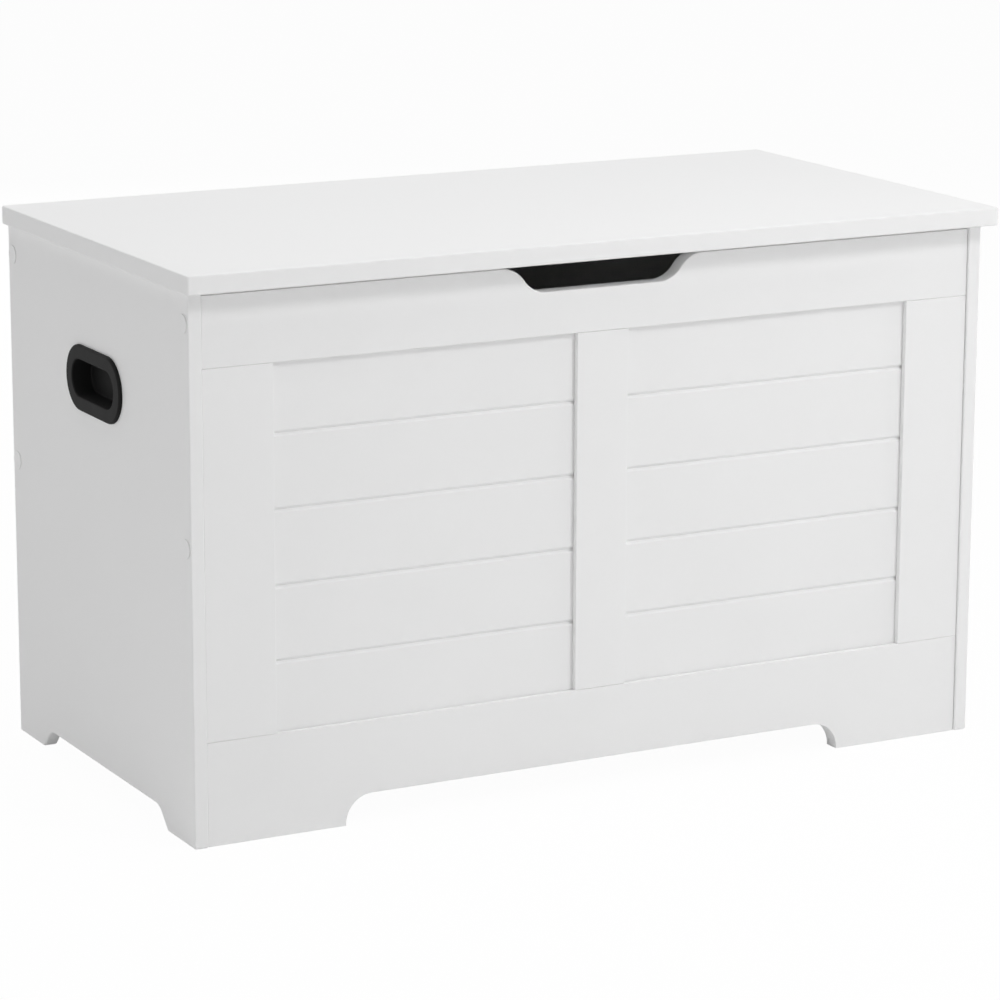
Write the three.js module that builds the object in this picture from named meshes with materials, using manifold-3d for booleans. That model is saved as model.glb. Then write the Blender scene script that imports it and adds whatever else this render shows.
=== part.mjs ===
// Painted wooden toy chest: a framed front with slatted infill panels, plain sides with recessed
// carrying handles, and a lift-up lid on two friction hinges.
// Millimetres, +Z up, front towards -Y. The origin is on the floor, midway across the overall width
// and the overall depth.

import * as THREE from 'three';
import { mergeVertices } from 'three/addons/utils/BufferGeometryUtils.js';
import Module from 'manifold-3d';

const wasm = await Module();
wasm.setup();

// ---- Driving dimensions ---------------------------------------------------------------------

// Lid
const LID_WIDTH = 760;
const LID_THICKNESS = 15.7;
const LID_ARRIS = 2; // radius of the rounded edges
const LID_CORNER = 2.5; // radius of the corners, seen from above
const LID_SIDE_OVERHANG = 7; // past the outer face of each side panel
const LID_FRONT_OVERHANG = 16; // past the front edges of the side panels
const LID_BACK_SETBACK = 3.5; // in front of the back edges of the side panels
const LID_GAP = 1.3; // between the lid and the top edges of the side panels

// Side panels
const BODY_DEPTH = 384;
const SIDE_HEIGHT = 453;
const SIDE_THICKNESS = 12;
const SIDE_ARRIS = 1.5;
const SIDE_FOOT = 56; // length of each foot along the floor
const SIDE_ARCH_HEIGHT = 17.5;
const SIDE_ARCH_SLANT = 45; // degrees from the floor
const SIDE_ARCH_FILLET = 18;

// Framed front
const FRAME_THICKNESS = 15;
const FRAME_ARRIS = 0.8;
const FRAME_SETBACK = 2; // behind the front edges of the side panels
const FRAME_END_GAP = 0.4; // between the frame and each side panel
const TOP_EDGE_DROP = 2.6; // frame and back panel below the top edges of the side panels
const TOP_RAIL_HEIGHT = 58.4;
const PLINTH_HEIGHT = 87;
const OUTER_STILE_WIDTH = 61.5;
const CENTRE_STILE_WIDTH = 48;
const PLINTH_FOOT = 123; // length of each foot along the floor
const PLINTH_ARCH_HEIGHT = 25;
const PLINTH_ARCH_FILLET = 24;

// Finger slot in the top rail
const SLOT_FLAT = 106; // straight bottom
const SLOT_END = 41.5; // length of each S-shaped end
const SLOT_DEPTH = 21.9;

// Slatted infill panels, held in a groove all round
const SLAT_COUNT = 5;
const SLAT_SETBACK = 5; // behind the face of the frame
const SLAT_PANEL_THICKNESS = 6;
const SLAT_TONGUE = 4; // length held in the groove
const SLAT_V_WIDTH = 4.6;
const SLAT_V_DEPTH = 2.3;

// Back and bottom panels
const BACK_THICKNESS = 15;
const BACK_ARRIS = 0.8;
const BACK_SETBACK = 2.5; // in front of the back edges of the side panels
const BACK_FLOOR_GAP = 25;
const BOTTOM_THICKNESS = 12;
const BOTTOM_HEIGHT = 45; // underside above the floor
const BOTTOM_TONGUE = 4; // length held in the groove all round

// Carrying handles: a black cup with a flange, one in each side panel
const HANDLE_LENGTH = 115;
const HANDLE_HEIGHT = 56;
const HANDLE_FLANGE = 3;
const HANDLE_ROUND = 1.8; // rounding of the flange's outer edge
const HANDLE_ROUND_STEPS = 3;
const HANDLE_OPENING_LENGTH = 89;
const HANDLE_OPENING_HEIGHT = 32;
const HANDLE_WALL = 2;
const HANDLE_DEPTH = 18; // from the flange's face to the floor of the cup
const HANDLE_DROP = 105.5; // centre below the top edge of the side panel
const HANDLE_LUG_WIDTH = 14;
const HANDLE_LUG_LENGTH = 3; // reach of the snap lug past the cup's wall
const HANDLE_LUG_THICKNESS = 2;

// Connecting screws through the side panels, with their cover caps, and dowels
const SCREW_TOP_DROP = 25; // upper screws below the top edge of the side panel
const SCREW_PITCH = 181; // from the upper to the lower screw
const SCREW_LENGTH = 50;
const SCREW_SHANK_RADIUS = 3.5;
const SCREW_THREAD_RADIUS = 3.1;
const SCREW_HEAD_RADIUS = 5;
const SCREW_HEAD_HEIGHT = 3;
const SCREW_SHANK_LENGTH = 11;
const SCREW_TIP_RADIUS = 1;
const SCREW_SINK = 0.6; // head below the panel's face
const SCREW_SOCKET = 4; // hexagon, across flats
const SCREW_SOCKET_DEPTH = 3;
const CAP_RADIUS = 8;
const CAP_THICKNESS = 0.8;
const DOWEL_RADIUS = 4;
const DOWEL_LENGTH = 30;
const DOWEL_IN_SIDE = 9; // length held in the side panel
const DOWEL_HEIGHT = 70; // above the floor
const DOWEL_CHAMFER = 1;

// Lid bumpers on the top edges of the side panels
const BUMPER_RADIUS = 4;
const BUMPER_INSET = 30; // from the front and back edges of the side panel

// Friction hinges
const HINGE_INSET = 130; // middle of each hinge from the lid's end
const HINGE_LENGTH = 76;
const HINGE_CENTRE_KNUCKLE = 37;
const KNUCKLE_RADIUS = 4.6;
const KNUCKLE_GAP = 0.5; // between knuckles, and round a turning knuckle
const PIN_RADIUS = 2;
const PIN_HEAD_RADIUS = 3.4;
const PIN_HEAD_LENGTH = 1;
const SLEEVE_WALL = 0.9;
const SLEEVE_LENGTH = 30;
const SLEEVE_SLIT = 2.2;
const LEAF_THICKNESS = 1.2;
const LID_LEAF_DEPTH = 40;
const BACK_LEAF_HEIGHT = 40;
const LEAF_CORNER = 5;
const LEAF_SCREW_PITCH = 26;
const LEAF_SCREW_LENGTH = 13;
const LEAF_SCREW_RADIUS = 1.6;
const LEAF_SCREW_HEAD_RADIUS = 3.4;
const LEAF_SCREW_HEAD_HEIGHT = 1.7;
const LEAF_SCREW_TIP_RADIUS = 0.4;
const LEAF_SCREW_CROSS = 0.7; // width of the cross recess
const LEAF_SCREW_CROSS_LENGTH = 4;
const LEAF_SCREW_CROSS_DEPTH = 1.2;

// Clearances
const JOINT_CLEARANCE = 0.3; // in grooves, holes and seams
const FACE_GAP = 0.2; // between pieces that lie face to face

// How the solids are made
const OVERREACH = 1; // how far a cutting tool runs past what it cuts
const ROUND_FACETS = 16; // round a cap, a knuckle or a sleeve
const BORE_FACETS = 12; // round a bore, a pin or a bumper
const SCREW_FACETS = 10;
const LEAF_SCREW_FACETS = 8;
const CURVE_FACETS = 4; // along each curve of a board's outline
const WIDE_ARRIS_STEPS = 2; // facets across the rounding of the lid's and the sides' edges
const HANDLE_FACETS = 8; // along each half-round end of a handle

const DEGREE = Math.PI / 180;

// ---- Sizes that follow from them, in the chest's own frame ------------------------------------
// There X = 0 is midway across, Y = 0 is the front edges of the side panels and Z = 0 is the floor.

const BODY_WIDTH = LID_WIDTH - 2 * LID_SIDE_OVERHANG;
const INNER_WIDTH = BODY_WIDTH - 2 * SIDE_THICKNESS;
const FRAME_WIDTH = INNER_WIDTH - 2 * FRAME_END_GAP;
const LID_UNDERSIDE = SIDE_HEIGHT + LID_GAP;
const LID_BACK = BODY_DEPTH - LID_BACK_SETBACK;
const LID_DEPTH = LID_FRONT_OVERHANG + LID_BACK;

const TOP_EDGE = SIDE_HEIGHT - TOP_EDGE_DROP;
const RAIL_BOTTOM = TOP_EDGE - TOP_RAIL_HEIGHT;
const FRAME_FRONT = FRAME_SETBACK;
const FRAME_BACK = FRAME_FRONT + FRAME_THICKNESS;
const FRAME_MIDDLE = FRAME_FRONT + FRAME_THICKNESS / 2;
const BACK_OUTSIDE = BODY_DEPTH - BACK_SETBACK;
const BACK_INSIDE = BACK_OUTSIDE - BACK_THICKNESS;
const BACK_MIDDLE = BACK_OUTSIDE - BACK_THICKNESS / 2;

const SLAT_FRONT = FRAME_FRONT + SLAT_SETBACK;
const SLAT_BACK = SLAT_FRONT + SLAT_PANEL_THICKNESS;
const BAY_WIDTH = (FRAME_WIDTH - CENTRE_STILE_WIDTH) / 2 - OUTER_STILE_WIDTH;
const BAY_HEIGHT = RAIL_BOTTOM - PLINTH_HEIGHT;
const BAY_CENTRE = (CENTRE_STILE_WIDTH + BAY_WIDTH) / 2;

const LEAF_MIDDLE = FACE_GAP + LEAF_THICKNESS / 2;
const ROLL_RADIUS = KNUCKLE_RADIUS - LEAF_THICKNESS / 2; // from the pin's axis to the middle of a leaf
const AXIS_Y = BACK_OUTSIDE + LEAF_MIDDLE + ROLL_RADIUS;
const AXIS_Z = LID_UNDERSIDE - LEAF_MIDDLE - ROLL_RADIUS;
const HANDLE_Z = SIDE_HEIGHT - HANDLE_DROP;
const SCREW_HEIGHTS = [SIDE_HEIGHT - SCREW_TOP_DROP, SIDE_HEIGHT - SCREW_TOP_DROP - SCREW_PITCH];

const OVERALL_BACK = Math.max(BODY_DEPTH, AXIS_Y + KNUCKLE_RADIUS);
const OVERALL_DEPTH = LID_FRONT_OVERHANG + OVERALL_BACK;

const SIDES = [
  { name: 'left', sign: -1 },
  { name: 'right', sign: 1 },
];

// ---- Finishes -----------------------------------------------------------------------------------

const WHITE_PAINT = { color: 0xf3f2f0, roughness: 0.5, metalness: 0 };
const BLACK_ABS = { color: 0x1f1f20, roughness: 0.5, metalness: 0 };
const ZINC_PLATE = { color: 0xb9bcc0, roughness: 0.35, metalness: 1 };
const SPRING_STEEL = { color: 0x7d7f82, roughness: 0.4, metalness: 1 };
const WHITE_FILM = { color: 0xf0efed, roughness: 0.4, metalness: 0 };
const CLEAR_RUBBER = { color: 0xdcdcd8, roughness: 0.6, metalness: 0 };
const BEECH = { color: 0xd9b98c, roughness: 0.7, metalness: 0 };

// ---- Solids -------------------------------------------------------------------------------------

// A closed geometry as a solid that can be joined and cut.
function solid(geometry) {
  const bare = geometry.clone();
  bare.deleteAttribute('normal');
  bare.deleteAttribute('uv');
  const merged = mergeVertices(bare, 1e-4);
  return new wasm.Manifold(new wasm.Mesh({
    numProp: 3,
    vertProperties: new Float32Array(merged.attributes.position.array),
    triVerts: new Uint32Array(merged.index.array),
  }));
}

function cut(body, ...tools) {
  return tools.reduce((result, tool) => result.subtract(tool), body);
}

function join(body, ...others) {
  return others.reduce((result, other) => result.add(other), body);
}

// A named mesh of a solid or of a geometry, with a material of its own.
function piece(name, shape, finish) {
  let geometry = shape;
  if (!shape.isBufferGeometry) {
    const { vertProperties, triVerts } = shape.getMesh();
    geometry = new THREE.BufferGeometry();
    geometry.setAttribute('position', new THREE.BufferAttribute(vertProperties, 3));
    geometry.setIndex(new THREE.BufferAttribute(triVerts, 1));
    geometry.computeVertexNormals();
  }
  const mesh = new THREE.Mesh(geometry, new THREE.MeshStandardMaterial(finish));
  mesh.name = name;
  return mesh;
}

// A block between two corners.
function block([x0, y0, z0], [x1, y1, z1]) {
  const geometry = new THREE.BoxGeometry(x1 - x0, y1 - y0, z1 - z0);
  return solid(geometry.translate((x0 + x1) / 2, (y0 + y1) / 2, (z0 + z1) / 2));
}

// A board cut to an outline, with arrises rounded in a few steps. It lies on XY and rises along +Z.
function board(outline, thickness, arris, steps = 1) {
  const geometry = new THREE.ExtrudeGeometry(outline, {
    depth: thickness - 2 * arris,
    bevelThickness: arris,
    bevelSize: arris,
    bevelOffset: -arris,
    bevelSegments: steps,
    curveSegments: CURVE_FACETS,
  });
  return geometry.translate(0, 0, arris);
}

// An outline extruded square.
function prism(outline, length, curveSegments = CURVE_FACETS) {
  return new THREE.ExtrudeGeometry(outline, { depth: length, bevelEnabled: false, curveSegments });
}

// Turns a board so that its outline's X and Y become X and Z and its thickness runs from Y towards -Y.
function standFacingFront(geometry) {
  return geometry.rotateX(Math.PI / 2);
}

// Turns a board so that its outline's X and Y become Y and Z and its thickness runs along +X.
function standFacingSide(geometry) {
  return geometry.applyMatrix4(new THREE.Matrix4().set(0, 0, 1, 0, 1, 0, 0, 0, 0, 1, 0, 0, 0, 0, 0, 1));
}

// A turned shape about the X axis, from [x, radius] pairs that run along +X.
function turned(profile, segments) {
  const points = profile.map(([x, radius]) => new THREE.Vector2(radius, x));
  return new THREE.LatheGeometry(points, segments).rotateZ(-Math.PI / 2);
}

function rod(radius, x0, x1, segments) {
  return turned([[x0, 0], [x0, radius], [x1, radius], [x1, 0]], segments);
}

function rectangle(width, height) {
  const outline = new THREE.Shape();
  outline.moveTo(-width / 2, -height / 2);
  outline.lineTo(width / 2, -height / 2);
  outline.lineTo(width / 2, height / 2);
  outline.lineTo(-width / 2, height / 2);
  outline.closePath();
  return outline;
}

function roundedRectangle(width, height, radius) {
  const x = width / 2 - radius;
  const y = height / 2 - radius;
  const outline = new THREE.Shape();
  outline.absarc(x, y, radius, 0, Math.PI / 2, false);
  outline.absarc(-x, y, radius, Math.PI / 2, Math.PI, false);
  outline.absarc(-x, -y, radius, Math.PI, 1.5 * Math.PI, false);
  outline.absarc(x, -y, radius, 1.5 * Math.PI, 2 * Math.PI, false);
  outline.closePath();
  return outline;
}

// A slot shape with half-round ends, centred.
function stadium(length, height) {
  const outline = new THREE.Shape();
  const radius = height / 2;
  const middle = length / 2 - radius;
  outline.absarc(middle, 0, radius, -Math.PI / 2, Math.PI / 2, false);
  outline.absarc(-middle, 0, radius, Math.PI / 2, 1.5 * Math.PI, false);
  outline.closePath();
  return outline;
}

// ---- Side panels --------------------------------------------------------------------------------

// The connecting screws' and dowels' middle lines, which run along X at these Y places.
const JOINT_LINES = [
  { name: 'front', y: FRAME_MIDDLE },
  { name: 'back', y: BACK_MIDDLE },
];

function sideOutline() {
  const slant = SIDE_ARCH_SLANT * DEGREE;
  const fillet = SIDE_ARCH_FILLET;
  const run = SIDE_ARCH_HEIGHT / Math.tan(slant) + fillet * Math.tan(slant / 2);
  const low = SIDE_FOOT + run;
  const high = BODY_DEPTH - SIDE_FOOT - run;
  const centreZ = SIDE_ARCH_HEIGHT - fillet;
  const outline = new THREE.Shape();
  outline.moveTo(0, 0);
  outline.lineTo(SIDE_FOOT, 0);
  outline.absarc(low, centreZ, fillet, Math.PI / 2 + slant, Math.PI / 2, true);
  outline.absarc(high, centreZ, fillet, Math.PI / 2, Math.PI / 2 - slant, true);
  outline.lineTo(BODY_DEPTH - SIDE_FOOT, 0);
  outline.lineTo(BODY_DEPTH, 0);
  outline.lineTo(BODY_DEPTH, SIDE_HEIGHT);
  outline.lineTo(0, SIDE_HEIGHT);
  outline.closePath();
  return outline;
}

// A connecting screw's shape along +X from its head's face, grown by a clearance for its hole.
function screwProfile(grow) {
  const shank = SCREW_SHANK_RADIUS + grow;
  const thread = SCREW_THREAD_RADIUS + grow;
  return [
    [-grow, 0],
    [-grow, SCREW_HEAD_RADIUS + grow],
    [SCREW_HEAD_HEIGHT, shank],
    [SCREW_SHANK_LENGTH, shank],
    [SCREW_SHANK_LENGTH + grow, thread],
    [SCREW_LENGTH - SCREW_THREAD_RADIUS, thread],
    [SCREW_LENGTH + grow, SCREW_TIP_RADIUS + grow],
    [SCREW_LENGTH + grow, 0],
  ];
}

// What the screw and its way in take away, from the panel's face at X = 0 inwards.
function screwHole() {
  const way = solid(rod(SCREW_HEAD_RADIUS + JOINT_CLEARANCE, -OVERREACH, SCREW_SINK, SCREW_FACETS));
  const hole = turned(screwProfile(JOINT_CLEARANCE), SCREW_FACETS).translate(SCREW_SINK, 0, 0);
  return join(way, solid(hole));
}

function dowelHole() {
  const radius = DOWEL_RADIUS + JOINT_CLEARANCE;
  const start = SIDE_THICKNESS - DOWEL_IN_SIDE - JOINT_CLEARANCE;
  return solid(rod(radius, start, start + DOWEL_LENGTH + 2 * JOINT_CLEARANCE, SCREW_FACETS));
}

// A tool that points inwards from the left or right panel's outer face.
function fromSide(tool, sign, y, z) {
  const turnedIn = sign < 0 ? tool : tool.rotate([0, 0, 180]);
  return turnedIn.translate([sign * BODY_WIDTH / 2, y, z]);
}

// All the screw and dowel holes of one joint line, on one side.
function jointHoles(sign, y) {
  const screws = SCREW_HEIGHTS.map((z) => fromSide(screwHole(), sign, y, z));
  return [...screws, fromSide(dowelHole(), sign, y, DOWEL_HEIGHT)];
}

function sidePanel({ name, sign }) {
  const inner = sign * INNER_WIDTH / 2;
  const outer = sign * BODY_WIDTH / 2;
  const panel = standFacingSide(board(sideOutline(), SIDE_THICKNESS, SIDE_ARRIS, WIDE_ARRIS_STEPS));
  panel.translate(Math.min(inner, outer), 0, 0);
  const reach = BOTTOM_TONGUE + JOINT_CLEARANCE;
  const groove = block(
    [inner - reach, FRAME_BACK - reach, BOTTOM_HEIGHT - JOINT_CLEARANCE],
    [inner + reach, BACK_INSIDE + reach, BOTTOM_HEIGHT + BOTTOM_THICKNESS + JOINT_CLEARANCE],
  );
  const grow = 2 * (HANDLE_WALL + JOINT_CLEARANCE);
  const opening = stadium(HANDLE_OPENING_LENGTH + grow, HANDLE_OPENING_HEIGHT + grow);
  const handleHole = standFacingSide(prism(opening, SIDE_THICKNESS + 2 * OVERREACH, HANDLE_FACETS));
  handleHole.translate(Math.min(inner, outer) - OVERREACH, BODY_DEPTH / 2, HANDLE_Z);
  const holes = JOINT_LINES.flatMap(({ y }) => jointHoles(sign, y));
  return piece(`side_panel_${name}`, cut(solid(panel), groove, solid(handleHole), ...holes), WHITE_PAINT);
}

// ---- Framed front -------------------------------------------------------------------------------

// The groove that the infill panels and stub tenons sit in, from a frame member's edge inwards.
const GROOVE_FRONT = SLAT_FRONT - JOINT_CLEARANCE;
const GROOVE_BACK = SLAT_BACK + JOINT_CLEARANCE;
const GROOVE_DEPTH = SLAT_TONGUE + JOINT_CLEARANCE;

// Half of an S-shaped slot end: two equal arcs that meet at their common tangent.
function slotEnd() {
  const sweep = 2 * Math.atan(SLOT_DEPTH / SLOT_END);
  return { sweep, radius: SLOT_END / (2 * Math.sin(sweep)) };
}

function topRail() {
  const { sweep, radius } = slotEnd();
  const half = FRAME_WIDTH / 2;
  const flat = SLOT_FLAT / 2;
  const floor = TOP_EDGE - SLOT_DEPTH;
  const quarter = Math.PI / 2;
  const outline = new THREE.Shape();
  outline.moveTo(-half, RAIL_BOTTOM);
  outline.lineTo(half, RAIL_BOTTOM);
  outline.lineTo(half, TOP_EDGE);
  outline.absarc(flat + SLOT_END, TOP_EDGE - radius, radius, quarter, quarter + sweep, false);
  outline.absarc(flat, floor + radius, radius, sweep - quarter, -quarter, true);
  outline.absarc(-flat, floor + radius, radius, -quarter, -quarter - sweep, true);
  outline.absarc(-flat - SLOT_END, TOP_EDGE - radius, radius, quarter - sweep, quarter, false);
  outline.lineTo(-half, TOP_EDGE);
  outline.closePath();
  const rail = standFacingFront(board(outline, FRAME_THICKNESS, FRAME_ARRIS)).translate(0, FRAME_BACK, 0);
  const groove = block(
    [-FRAME_WIDTH, GROOVE_FRONT, RAIL_BOTTOM - OVERREACH],
    [FRAME_WIDTH, GROOVE_BACK, RAIL_BOTTOM + GROOVE_DEPTH],
  );
  const holes = SIDES.flatMap(({ sign }) => jointHoles(sign, FRAME_MIDDLE));
  return piece('front_top_rail', cut(solid(rail), groove, ...holes), WHITE_PAINT);
}

function plinthRail() {
  const half = FRAME_WIDTH / 2;
  const arch = half - PLINTH_FOOT;
  const radius = Math.min(PLINTH_ARCH_FILLET, PLINTH_ARCH_HEIGHT - FRAME_ARRIS);
  const outline = new THREE.Shape();
  outline.moveTo(-half, 0);
  outline.lineTo(-arch, 0);
  outline.absarc(-arch + radius, PLINTH_ARCH_HEIGHT - radius, radius, Math.PI, Math.PI / 2, true);
  outline.absarc(arch - radius, PLINTH_ARCH_HEIGHT - radius, radius, Math.PI / 2, 0, true);
  outline.lineTo(arch, 0);
  outline.lineTo(half, 0);
  outline.lineTo(half, PLINTH_HEIGHT);
  outline.lineTo(-half, PLINTH_HEIGHT);
  outline.closePath();
  const rail = standFacingFront(board(outline, FRAME_THICKNESS, FRAME_ARRIS)).translate(0, FRAME_BACK, 0);
  const groove = block(
    [-FRAME_WIDTH, GROOVE_FRONT, PLINTH_HEIGHT - GROOVE_DEPTH],
    [FRAME_WIDTH, GROOVE_BACK, PLINTH_HEIGHT + OVERREACH],
  );
  const bottomGroove = block(
    [-FRAME_WIDTH, FRAME_BACK - BOTTOM_TONGUE - JOINT_CLEARANCE, BOTTOM_HEIGHT - JOINT_CLEARANCE],
    [FRAME_WIDTH, FRAME_BACK + OVERREACH, BOTTOM_HEIGHT + BOTTOM_THICKNESS + JOINT_CLEARANCE],
  );
  const holes = SIDES.flatMap(({ sign }) => jointHoles(sign, FRAME_MIDDLE));
  return piece('front_plinth_rail', cut(solid(rail), groove, bottomGroove, ...holes), WHITE_PAINT);
}

// An upright between the rails, with a stub tenon at each end and a groove in each edge that an
// infill panel enters. grooves lists those edges: -1 for the left one and 1 for the right one.
function stile(name, centre, width, grooves) {
  const low = PLINTH_HEIGHT + JOINT_CLEARANCE;
  const high = RAIL_BOTTOM - JOINT_CLEARANCE;
  const post = standFacingFront(board(rectangle(width, high - low), FRAME_THICKNESS, FRAME_ARRIS));
  post.translate(centre, FRAME_BACK, (low + high) / 2);
  const edge = width / 2;
  const shoulder = GROOVE_DEPTH + JOINT_CLEARANCE;
  const tenon = block(
    [centre - edge + (grooves.includes(-1) ? shoulder : 0), SLAT_FRONT, PLINTH_HEIGHT - SLAT_TONGUE],
    [centre + edge - (grooves.includes(1) ? shoulder : 0), SLAT_BACK, RAIL_BOTTOM + SLAT_TONGUE],
  );
  const cuts = grooves.map((sign) => block(
    [centre + sign * edge - GROOVE_DEPTH, GROOVE_FRONT, low - GROOVE_DEPTH],
    [centre + sign * edge + GROOVE_DEPTH, GROOVE_BACK, high + GROOVE_DEPTH],
  ));
  const holes = SIDES.flatMap(({ sign }) => jointHoles(sign, FRAME_MIDDLE));
  return piece(name, cut(join(solid(post), tenon), ...cuts, ...holes), WHITE_PAINT);
}

function slatPanel({ name, sign }) {
  const width = BAY_WIDTH + 2 * SLAT_TONGUE;
  const height = BAY_HEIGHT + 2 * SLAT_TONGUE;
  const pitch = height / SLAT_COUNT;
  const outline = new THREE.Shape(); // across the panel's thickness, as Y and Z
  outline.moveTo(SLAT_BACK, 0);
  outline.lineTo(SLAT_BACK, height);
  outline.lineTo(SLAT_FRONT, height);
  for (let joint = SLAT_COUNT - 1; joint > 0; joint -= 1) {
    outline.lineTo(SLAT_FRONT, joint * pitch + SLAT_V_WIDTH / 2);
    outline.lineTo(SLAT_FRONT + SLAT_V_DEPTH, joint * pitch);
    outline.lineTo(SLAT_FRONT, joint * pitch - SLAT_V_WIDTH / 2);
  }
  outline.lineTo(SLAT_FRONT, 0);
  outline.closePath();
  const panel = standFacingSide(prism(outline, width));
  panel.translate(sign * BAY_CENTRE - width / 2, 0, PLINTH_HEIGHT - SLAT_TONGUE);
  return piece(`slat_panel_${name}`, solid(panel), WHITE_PAINT);
}

// ---- Back and bottom panels ---------------------------------------------------------------------

function backPanel() {
  const height = TOP_EDGE - BACK_FLOOR_GAP;
  const panel = standFacingFront(board(rectangle(FRAME_WIDTH, height), BACK_THICKNESS, BACK_ARRIS));
  panel.translate(0, BACK_OUTSIDE, BACK_FLOOR_GAP + height / 2);
  const groove = block(
    [-FRAME_WIDTH, BACK_INSIDE - OVERREACH, BOTTOM_HEIGHT - JOINT_CLEARANCE],
    [FRAME_WIDTH, BACK_INSIDE + BOTTOM_TONGUE + JOINT_CLEARANCE,
      BOTTOM_HEIGHT + BOTTOM_THICKNESS + JOINT_CLEARANCE],
  );
  const holes = SIDES.flatMap(({ sign }) => jointHoles(sign, BACK_MIDDLE));
  const pilots = SIDES.flatMap(({ sign }) => backLeafScrewPlaces(sign).map(
    (place) => leafPilot().rotate([0, 0, -90]).translate(place),
  ));
  return piece('back_panel', cut(solid(panel), groove, ...holes, ...pilots), WHITE_PAINT);
}

function bottomPanel() {
  const reach = BOTTOM_TONGUE - JOINT_CLEARANCE;
  const width = INNER_WIDTH + 2 * reach;
  const front = FRAME_BACK - reach;
  const back = BACK_INSIDE + reach;
  const panel = prism(rectangle(width, back - front), BOTTOM_THICKNESS);
  panel.translate(0, (front + back) / 2, BOTTOM_HEIGHT);
  return piece('bottom_panel', solid(panel), WHITE_PAINT);
}

// ---- Carrying handles ---------------------------------------------------------------------------

// Built with its flange's back at X = 0 and the cup going towards +X.
function handle({ name, sign }) {
  const flange = standFacingSide(new THREE.ExtrudeGeometry(stadium(HANDLE_LENGTH, HANDLE_HEIGHT), {
    depth: HANDLE_FLANGE - HANDLE_ROUND,
    bevelThickness: HANDLE_ROUND,
    bevelSize: HANDLE_ROUND,
    bevelOffset: -HANDLE_ROUND,
    bevelSegments: HANDLE_ROUND_STEPS,
    curveSegments: HANDLE_FACETS,
  }));
  flange.translate(-HANDLE_FLANGE + HANDLE_ROUND, 0, 0);
  const face = block([0, -HANDLE_LENGTH, -HANDLE_HEIGHT], [HANDLE_FLANGE, HANDLE_LENGTH, HANDLE_HEIGHT]);
  const shellLength = HANDLE_DEPTH + HANDLE_WALL;
  const walls = 2 * HANDLE_WALL;
  const shellOutline = stadium(HANDLE_OPENING_LENGTH + walls, HANDLE_OPENING_HEIGHT + walls);
  const shell = standFacingSide(prism(shellOutline, shellLength - HANDLE_ROUND, HANDLE_FACETS));
  shell.translate(-HANDLE_FLANGE + HANDLE_ROUND, 0, 0);
  const opening = stadium(HANDLE_OPENING_LENGTH, HANDLE_OPENING_HEIGHT);
  const recess = standFacingSide(prism(opening, HANDLE_DEPTH + OVERREACH, HANDLE_FACETS));
  recess.translate(-HANDLE_FLANGE - OVERREACH, 0, 0);
  const lugX = SIDE_THICKNESS + JOINT_CLEARANCE;
  const lugReach = HANDLE_OPENING_LENGTH / 2 + HANDLE_WALL + HANDLE_LUG_LENGTH;
  const lugRoot = (HANDLE_OPENING_LENGTH + HANDLE_WALL) / 2;
  const lugs = [-1, 1].map((end) => block(
    [lugX, Math.min(end * lugRoot, end * lugReach), -HANDLE_LUG_WIDTH / 2],
    [lugX + HANDLE_LUG_THICKNESS, Math.max(end * lugRoot, end * lugReach), HANDLE_LUG_WIDTH / 2],
  ));
  const cup = cut(join(cut(solid(flange), face), solid(shell), ...lugs), solid(recess));
  const mesh = piece(`handle_${name}`, cup, BLACK_ABS);
  mesh.rotation.z = sign < 0 ? 0 : Math.PI;
  mesh.position.set(sign * (BODY_WIDTH / 2 + FACE_GAP), BODY_DEPTH / 2, HANDLE_Z);
  return mesh;
}

// ---- Screws, caps, dowels and bumpers -----------------------------------------------------------

function connectingScrew(name, sign, y, z) {
  const corner = SCREW_SOCKET / Math.sqrt(3);
  const socket = new THREE.CylinderGeometry(corner, corner, 2 * SCREW_SOCKET_DEPTH, 6).rotateZ(Math.PI / 2);
  const shape = cut(solid(turned(screwProfile(0), SCREW_FACETS)), solid(socket));
  const mesh = piece(name, shape, ZINC_PLATE);
  mesh.rotation.z = sign < 0 ? 0 : Math.PI;
  mesh.position.set(sign * (BODY_WIDTH / 2 - SCREW_SINK), y, z);
  return mesh;
}

function coverCap(name, sign, y, z) {
  const profile = [
    [-CAP_THICKNESS, 0],
    [-CAP_THICKNESS, CAP_RADIUS - CAP_THICKNESS],
    [0, CAP_RADIUS],
    [0, 0],
  ];
  const mesh = piece(name, turned(profile, ROUND_FACETS), WHITE_FILM);
  mesh.rotation.z = sign < 0 ? 0 : Math.PI;
  mesh.position.set(sign * (BODY_WIDTH / 2 + FACE_GAP), y, z);
  return mesh;
}

function dowel(name, sign, y) {
  const end = DOWEL_RADIUS - DOWEL_CHAMFER;
  const profile = [
    [0, 0],
    [0, end],
    [DOWEL_CHAMFER, DOWEL_RADIUS],
    [DOWEL_LENGTH - DOWEL_CHAMFER, DOWEL_RADIUS],
    [DOWEL_LENGTH, end],
    [DOWEL_LENGTH, 0],
  ];
  const mesh = piece(name, turned(profile, SCREW_FACETS), BEECH);
  mesh.rotation.z = sign < 0 ? 0 : Math.PI;
  mesh.position.set(sign * (INNER_WIDTH / 2 + DOWEL_IN_SIDE), y, DOWEL_HEIGHT);
  return mesh;
}

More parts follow.
